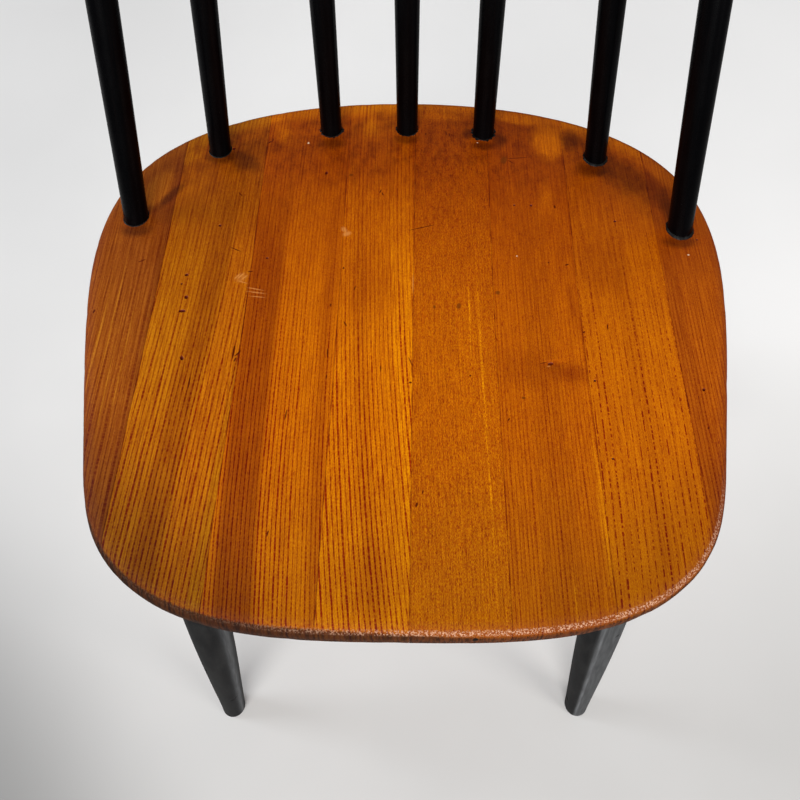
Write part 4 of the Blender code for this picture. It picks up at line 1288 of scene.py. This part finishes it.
# %% Turn the spindles
SWELL_POWER = 1.3
SPINDLE_FOOT_RADIUS, SPINDLE_BELLY_RADIUS, SPINDLE_TOP_RADIUS = 0.0078, 0.0087, 0.0055
POST_FOOT_RADIUS, POST_BELLY_RADIUS = 0.0083, 0.0091
SPINDLE_BELLY_AT = 0.165
SPINDLE_NECK = 0.006
RAIL_SOCKET_DEPTH = 0.017
SPINDLE_SIDES = 40
HAND_TURNED = 0.00006


def swelling(foot, belly, neck, steps):
    """Profile through three (radius, height) pairs, fullest at the belly."""
    profile = []
    for step in range(steps):
        swell = math.sin(math.pi / 2 * step / steps) ** SWELL_POWER
        profile.append((foot[0] + (belly[0] - foot[0]) * swell,
                        foot[1] + (belly[1] - foot[1]) * step / steps))
    for step in range(steps + 1):
        swell = math.cos(math.pi / 2 * step / steps)
        profile.append((neck[0] + (belly[0] - neck[0]) * swell,
                        belly[1] + (neck[1] - belly[1]) * step / steps))
    return profile


def hand_finish(bm, seed, depth):
    """Take a turned surface back by a few hundredths of a millimetre, unevenly, as sanding does."""
    for vertex in bm.verts:
        x, y, z = vertex.co
        wear = 0.5 + 0.5 * noise.noise(Vector((x * 120, y * 120, z * 30 + seed * 10)))
        out = Vector((x, y, 0.0))
        vertex.co -= out.normalized() * depth * wear if out.length > 1e-6 else Vector((0, 0, 0))


def turn_spindle(name, number):
    low, high = centreline(name, SPINDLE_FACETS)
    is_post = name.startswith("back_post")
    foot_radius = POST_FOOT_RADIUS if is_post else SPINDLE_FOOT_RADIUS
    belly_radius = POST_BELLY_RADIUS if is_post else SPINDLE_BELLY_RADIUS
    in_seat = SOCKET_DEPTH - FIT_GAP
    length = (high - low).length
    neck_at = length - (RAIL_SOCKET_DEPTH - FIT_GAP) - SPINDLE_NECK
    swollen = swelling((foot_radius, in_seat), (belly_radius, in_seat + SPINDLE_BELLY_AT),
                       (SPINDLE_TOP_RADIUS, neck_at), 22)
    profile = [(foot_radius, 0.0), *swollen, (SPINDLE_TOP_RADIUS, length)]
    bm = turned(profile, SPINDLE_SIDES)
    hand_finish(bm, number, HAND_TURNED)
    spindle = as_object(f"{name}_painted", bm, aimed(low, high))
    return fit_piece(spindle, SPINDLE_FINISH, "black_paint", name)


spindles = [turn_spindle(name, number) for number, name in enumerate(SPINDLE_NAMES)]
print("spindles", [len(spindle.data.polygons) for spindle in spindles])

# %% [markdown]
# Where a spindle enters the seat, glue and paint have dried in a ragged little collar. It is a ring
# that hugs the slanting spindle and runs out on the wood, wider where more was squeezed out. The
# middle one on the left is the roughest: flakes of it have lifted.

# %% Build the collars
COLLAR_SIDES = 96
# Width, height and raggedness of each collar, left to right, in millimetres
COLLARS = [(0.5, 0.4, 0.4), (0.5, 0.4, 0.4), (0.9, 0.6, 1.2), (0.5, 0.4, 0.9), (1.1, 0.7, 1.1),
           (1.0, 1.1, 0.35), (1.1, 1.4, 0.25)]


def slide_to_height(point, axis, height):
    """Move a point along the spindle's axis until it is at a height over the seat's plane."""
    return point + axis * ((height - point.z) / axis.z)


def build_collar(name, number, width, height, ragged):
    low, high = (to_seat @ end for end in centreline(name, SPINDLE_FACETS))
    axis = (high - low).normalized()
    foot = slide_to_height(low, axis, 0.0)
    radius = (POST_FOOT_RADIUS if name.startswith("back_post") else SPINDLE_FOOT_RADIUS) + FIT_GAP / 3
    side = axis.cross(Vector((0, 0, 1))).normalized()
    rings = []
    for across, up in ((0.0, -0.6), (0.0, 1.0), (0.3, 0.80), (0.65, 0.40), (1.0, 0.05), (1.0, -0.6)):
        ring = []
        for i in range(COLLAR_SIDES):
            turn = Matrix.Rotation(-2 * math.pi * i / COLLAR_SIDES, 3, axis)
            spoke = turn @ side
            rough = noise.fractal(Vector((spoke.x, spoke.y, number)) * 4.3, 0.8, 2.0, 4)
            reach = width / 1000 * max(0.12, 1 + ragged * 1.3 * rough)
            rise = height / 1000 * max(0.25, 1 + ragged * rough) * up
            point = slide_to_height(foot + spoke * radius, axis, rise)
            outward = Vector((spoke.x, spoke.y, 0.0)).normalized()
            ring.append(point + outward * reach * across)
        rings.append(ring)
    bm = bmesh.new()
    rows = [[bm.verts.new(point) for point in ring] for ring in rings]
    for row, after in zip(rows, rows[1:] + rows[:1]):
        for i in range(COLLAR_SIDES):
            j = (i + 1) % COLLAR_SIDES
            bm.faces.new((row[i], after[i], after[j], row[j]))
    collar = as_object(f"paint_collar_{number + 1}", bm, seat_frame)
    return fit_piece(collar, COLLAR_FINISH, "black_paint")


COLLAR_FINISH = black_finish("collar_black", paint(4, 4, 4), 0.06, 0.15, 0.20, 0.30, shine=0.08)
for number, (name, collar) in enumerate(zip(SPINDLE_NAMES, COLLARS)):
    build_collar(name, number, *collar)
print("collars", len(COLLARS))

# %% [markdown]
# Knocks have left nicks in the legs. A nick is a small hollow pressed into the mesh, at a height and
# at a turn about the leg, so it shows in the leg's outline and from every side. A painted highlight,
# a grey line in the paint along each front leg, is stored on the mesh's points.

# %% Nick and rub the legs
# Leg, height over the floor, turn about the leg from its right side, length, width and depth, in mm
NICKS = [
    ("front_left_leg", 168.0, 228.0, 8.0, 4.0, 0.9), ("front_left_leg", 159.0, 232.0, 5.0, 3.0, 0.5),
    ("front_left_leg", 72.0, 294.0, 6.0, 3.4, 0.3), ("front_left_leg", 74.0, 311.0, 5.0, 2.6, 0.3),
    ("front_right_leg", 261.0, 300.0, 3.6, 3.0, 0.8), ("front_right_leg", 40.0, 196.0, 9.0, 5.0, 0.5),
    ("rear_left_leg", 80.0, 120.0, 6.0, 3.0, 0.8), ("rear_right_leg", 40.0, 60.0, 5.0, 3.0, 0.8),
    ("rear_right_leg", 190.0, 80.0, 9.0, 2.5, 0.5),
]


def find_on_leg(point, matrix):
    """Where a point of a leg lies: height over the floor in mm, turn about the leg in degrees."""
    facing = matrix.to_3x3() @ Vector((point.x, point.y, 0.0))
    return (matrix @ point).z * 1000, math.degrees(math.atan2(facing.y, facing.x))


def inside_nick(nick, point, matrix):
    """One in a nick's middle, zero at its rim and less outside."""
    _, nick_height, nick_turn, length, width, _ = nick
    height, turn = find_on_leg(point, matrix)
    aside = math.radians(math.remainder(turn - nick_turn, 360)) * point.xy.length * 1000
    return 1 - ((height - nick_height) / (length / 2)) ** 2 - (aside / (width / 2)) ** 2


def press_nicks(bm, name, matrix):
    """Press this leg's nicks into its mesh, which runs along its own Z."""
    for nick in NICKS:
        if nick[0] == name:
            for vertex in bm.verts:
                inside = inside_nick(nick, vertex.co, matrix)
                if inside > 0 and vertex.co.xy.length > 1e-5:
                    out = Vector((vertex.co.x, vertex.co.y, 0.0)).normalized()
                    vertex.co -= out * nick[-1] / 1000 * inside ** 0.7


# A painted highlight along each front leg, a grey line in its paint: the turn of the line, how wide
# it is, how grey it is, and how grey the painted highlight stays beside it, through how many degrees
HIGHLIGHT_SIDES = {"front_left_leg": (332.0, 15.0, 0.50, 0.10),
                "front_right_leg": (258.0, 7.0, 0.62, 0.30)}
BESIDE_REACH = 75


def measure_sheen_and_nicks(mesh, name, matrix):
    """Store how grey each point of a leg is painted as a highlight, and how far it is nicked."""
    line_turn, width, line, beside = HIGHLIGHT_SIDES.get(name, (0.0, 1.0, 0.0, 0.0))
    rubbed_and_sheen, nicked = [], []
    for vertex in mesh.vertices:
        past = math.remainder(find_on_leg(vertex.co, matrix)[1] - line_turn, 360)
        plateau = beside if 0 < past < BESIDE_REACH else 0.0
        rubbed_and_sheen.append(max(line * math.exp(-(past / width) ** 2), plateau))
        reach = [inside_nick(nick, vertex.co, matrix) for nick in NICKS if nick[0] == name]
        nicked.append(min(1.0, 2 * max([0.0, *reach])))
    store(mesh, "rubbed_and_sheen", rubbed_and_sheen)
    store(mesh, "nick", nicked)


print("nicks", len(NICKS))

# %% [markdown]
# The legs are turned like the spindles, only stouter, and sawn level at the foot. The rings stand
# close together, so that a three-millimetre nick has points enough to be round. A hole for the
# glide's pin is drilled up into each foot.

# %% Turn the legs
LEG_NAMES = [name for name in solids if name.endswith("_leg")]
LEG_FOOT_RADIUS, LEG_BELLY_RADIUS, LEG_NECK_RADIUS = 0.01145, 0.0163, 0.0115
LEG_BELLY_FROM_TOP = 0.120
LEG_NECK = 0.010
LEG_SOCKET_DEPTH = 0.018
LEG_SIDES = 64
LEG_RINGS = 200
GLIDE_THICKNESS = 0.003
PIN_RADIUS, PIN_LENGTH = 0.0012, 0.012


def turn_leg(name, number):
    _, high = centreline(name, LEG_FACETS)
    low_corner, high_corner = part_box(name.replace("_leg", "_glide"))
    sole = GLIDE_THICKNESS + FIT_GAP
    on_axis = Vector(((low_corner.x + high_corner.x) / 2, (low_corner.y + high_corner.y) / 2, sole))
    slope = (high - on_axis).normalized()
    foot = on_axis - slope * (sole / slope.z)
    length = (high - foot).length
    shoulder = length - (LEG_SOCKET_DEPTH - FIT_GAP)
    swollen = swelling((LEG_FOOT_RADIUS, 0.0), (LEG_BELLY_RADIUS, shoulder - LEG_BELLY_FROM_TOP),
                       (LEG_NECK_RADIUS, shoulder - LEG_NECK), LEG_RINGS)
    matrix = aimed(foot, high)
    bm = turned([(LEG_FOOT_RADIUS, -LEG_FOOT_RADIUS), *swollen, (LEG_NECK_RADIUS, length)], LEG_SIDES)
    to_leg = matrix.inverted()
    saw(bm, to_leg @ on_axis, to_leg.to_3x3() @ Vector((0.0, 0.0, -1.0)))
    hand_finish(bm, 20 + number, HAND_TURNED)
    press_nicks(bm, name, matrix)
    leg = as_object(f"{name}_painted", bm, matrix)
    pin_hole = [(PIN_RADIUS + FIT_GAP, 0.0),
                (PIN_RADIUS + FIT_GAP, GLIDE_THICKNESS + PIN_LENGTH + FIT_GAP)]
    under_leg = Matrix.Translation((on_axis.x, on_axis.y, 0.0))
    cutter = as_object("pin_hole", turned(pin_hole, LEG_FACETS), under_leg)
    cut_holes(leg, object=cutter)
    bpy.data.objects.remove(cutter)
    shade(leg.data)
    measure_sheen_and_nicks(leg.data, name, matrix)
    return fit_piece(leg, LEG_FINISH, "black_paint", name)


legs = [turn_leg(name, number) for number, name in enumerate(LEG_NAMES)]
print("legs", [len(leg.data.polygons) for leg in legs])

# %% [markdown]
# The crest rail is a bent board. Its section is a rounded slab, a little thinner at the top, and it
# is swept along an arc. The upper edge is crowned: highest in the middle. The rail's own frame
# leans back with the spindles, and it starts from the top of the middle one.

# %% Bend the crest rail
BACK_LEAN = math.radians(14.0)
RAIL_SHIFT = -0.003
RAIL_PITCHES = (0.053, 0.054, 0.048)
RAIL_BEND_RADIUS = 0.353
RAIL_OVERHANG = 0.031
RAIL_HEIGHT = 0.070
RAIL_CROWN = 0.010
RAIL_LOWER_THICKNESS, RAIL_UPPER_THICKNESS = 0.021, 0.015
RAIL_LOWER_CORNER, RAIL_UPPER_CORNER = 0.0045, 0.0070
RAIL_END_ROUND = 0.022
RAIL_STATIONS = 48
RAIL_CORNER_STEPS = 7
MIDDLE_SPINDLE_LENGTH = 0.367
# The flat facets of the rail's solid lie this far inside its true bend
FACET_ROOM = Vector((0.0, 0.0008, 0.0002))


def rail_point(arc, forward=0.0, height=0.0):
    """A point of the rail in its own frame, at a length along its bend."""
    angle = arc / RAIL_BEND_RADIUS
    radius = RAIL_BEND_RADIUS - forward
    return Vector((radius * math.sin(angle), radius * math.cos(angle) - RAIL_BEND_RADIUS, height))


def rail_section(arc, half_length, shrink):
    """One section of the rail: a rounded board, thinner and a little lower towards its ends."""
    height = RAIL_HEIGHT - RAIL_CROWN * (arc / half_length) ** 2
    lower, upper = RAIL_LOWER_THICKNESS / 2, RAIL_UPPER_THICKNESS / 2
    rounds = ((lower, 0.0, RAIL_LOWER_CORNER, -90), (upper, height, RAIL_UPPER_CORNER, 0),
              (-upper, height, RAIL_UPPER_CORNER, 90), (-lower, 0.0, RAIL_LOWER_CORNER, 180))
    ring = []
    for forward, level, radius, start in rounds:
        middle_forward = forward - math.copysign(radius, forward)
        middle_level = level + (radius if level == 0.0 else -radius)
        for step in range(RAIL_CORNER_STEPS + 1):
            angle = math.radians(start + 90 * step / RAIL_CORNER_STEPS)
            across = middle_forward + radius * math.cos(angle)
            up = height / 2 + (middle_level + radius * math.sin(angle) - height / 2) * shrink
            ring.append(rail_point(arc, across * (1 + shrink) / 2, up))
    return ring


def bend_rail():
    half_length = sum(RAIL_PITCHES) + RAIL_OVERHANG
    straight = half_length - RAIL_END_ROUND
    right_end = [(straight + RAIL_END_ROUND * math.sin(math.radians(angle)),
                  math.cos(math.radians(angle))) for angle in range(8, 73, 8)]
    stations = [(-arc, shrink) for arc, shrink in reversed(right_end)]
    stations += [(straight * (2 * i / RAIL_STATIONS - 1), 1.0) for i in range(RAIL_STATIONS + 1)]
    stations += right_end
    low, high = centreline("spindle_3", SPINDLE_FACETS)
    foot = low + (high - low).normalized() * (SOCKET_DEPTH - FIT_GAP)
    up_the_back = Vector((0.0, math.sin(BACK_LEAN), math.cos(BACK_LEAN)))
    origin = foot + up_the_back * MIDDLE_SPINDLE_LENGTH + Vector((RAIL_SHIFT, 0.0, 0.0)) - FACET_ROOM
    matrix = Matrix.Translation(origin) @ Matrix.Rotation(-BACK_LEAN, 4, 'X')
    bm = loft([rail_section(arc, half_length, shrink) for arc, shrink in stations])
    rail = as_object("crest_rail_painted", bm, matrix)
    sockets = lay_out_cutters("holes_in_the_rail")
    for name in SPINDLE_NAMES:
        low, high = centreline(name, SPINDLE_FACETS)
        length = (high - low).length
        radius = SPINDLE_TOP_RADIUS + FIT_GAP
        drilled(f"rail_socket_{name}", aimed(low, high),
                [(radius, length - 2 * RAIL_SOCKET_DEPTH), (radius, length + FIT_GAP)], sockets)
    cut_holes(rail, operand_type='COLLECTION', collection=sockets)
    clear_away(sockets)
    shade(rail.data)
    return fit_piece(rail, RAIL_FINISH, "black_paint", "crest_rail")


rail = bend_rail()
print("rail of", len(rail.data.polygons), "faces")

# %% [markdown]
# The battens, screws and glides keep the frame's own solids, which already have the right shape.
# Only their finish is new: black paint on the battens and the glides, and worn steel on the screws.

# %% Finish the battens, the screws and the glides
BRIGHT_STEEL, DULL_STEEL = paint(120, 118, 114), paint(70, 58, 50)


def steel_finish():
    material, recipe, shader = new_material("worn_steel")
    place = recipe.room_place()
    dull = recipe.step(recipe.noise(place, 0.7, 4.0, 0.7), 0.40, 0.65)
    recipe.feed(shader["Base Color"], recipe.mix(dull, BRIGHT_STEEL, DULL_STEEL))
    recipe.feed(shader["Roughness"], recipe.step(dull, 0.0, 1.0, 0.38, 0.65))
    recipe.feed(shader["Metallic"], recipe.step(dull, 0.0, 1.0, 1.0, 0.7))
    return material


STEEL_FINISH = steel_finish()
GLIDE_FINISH = black_finish("glide_black", paint(12, 11, 11), 0.02, 0.0, 0.1, 0.5, shine=0.03,
                            kept_solid=True)
for name, solid in solids.items():
    if name.endswith("_batten") or "_screw_" in name or name.endswith("_glide"):
        solid.data.materials.clear()
        finish = (STEEL_FINISH if "_screw_" in name else BATTEN_FINISH if "_batten" in name
                  else GLIDE_FINISH)
        solid.data.materials.append(finish)
print("solids kept:", sum(not solid.hide_render for solid in solids.values()))
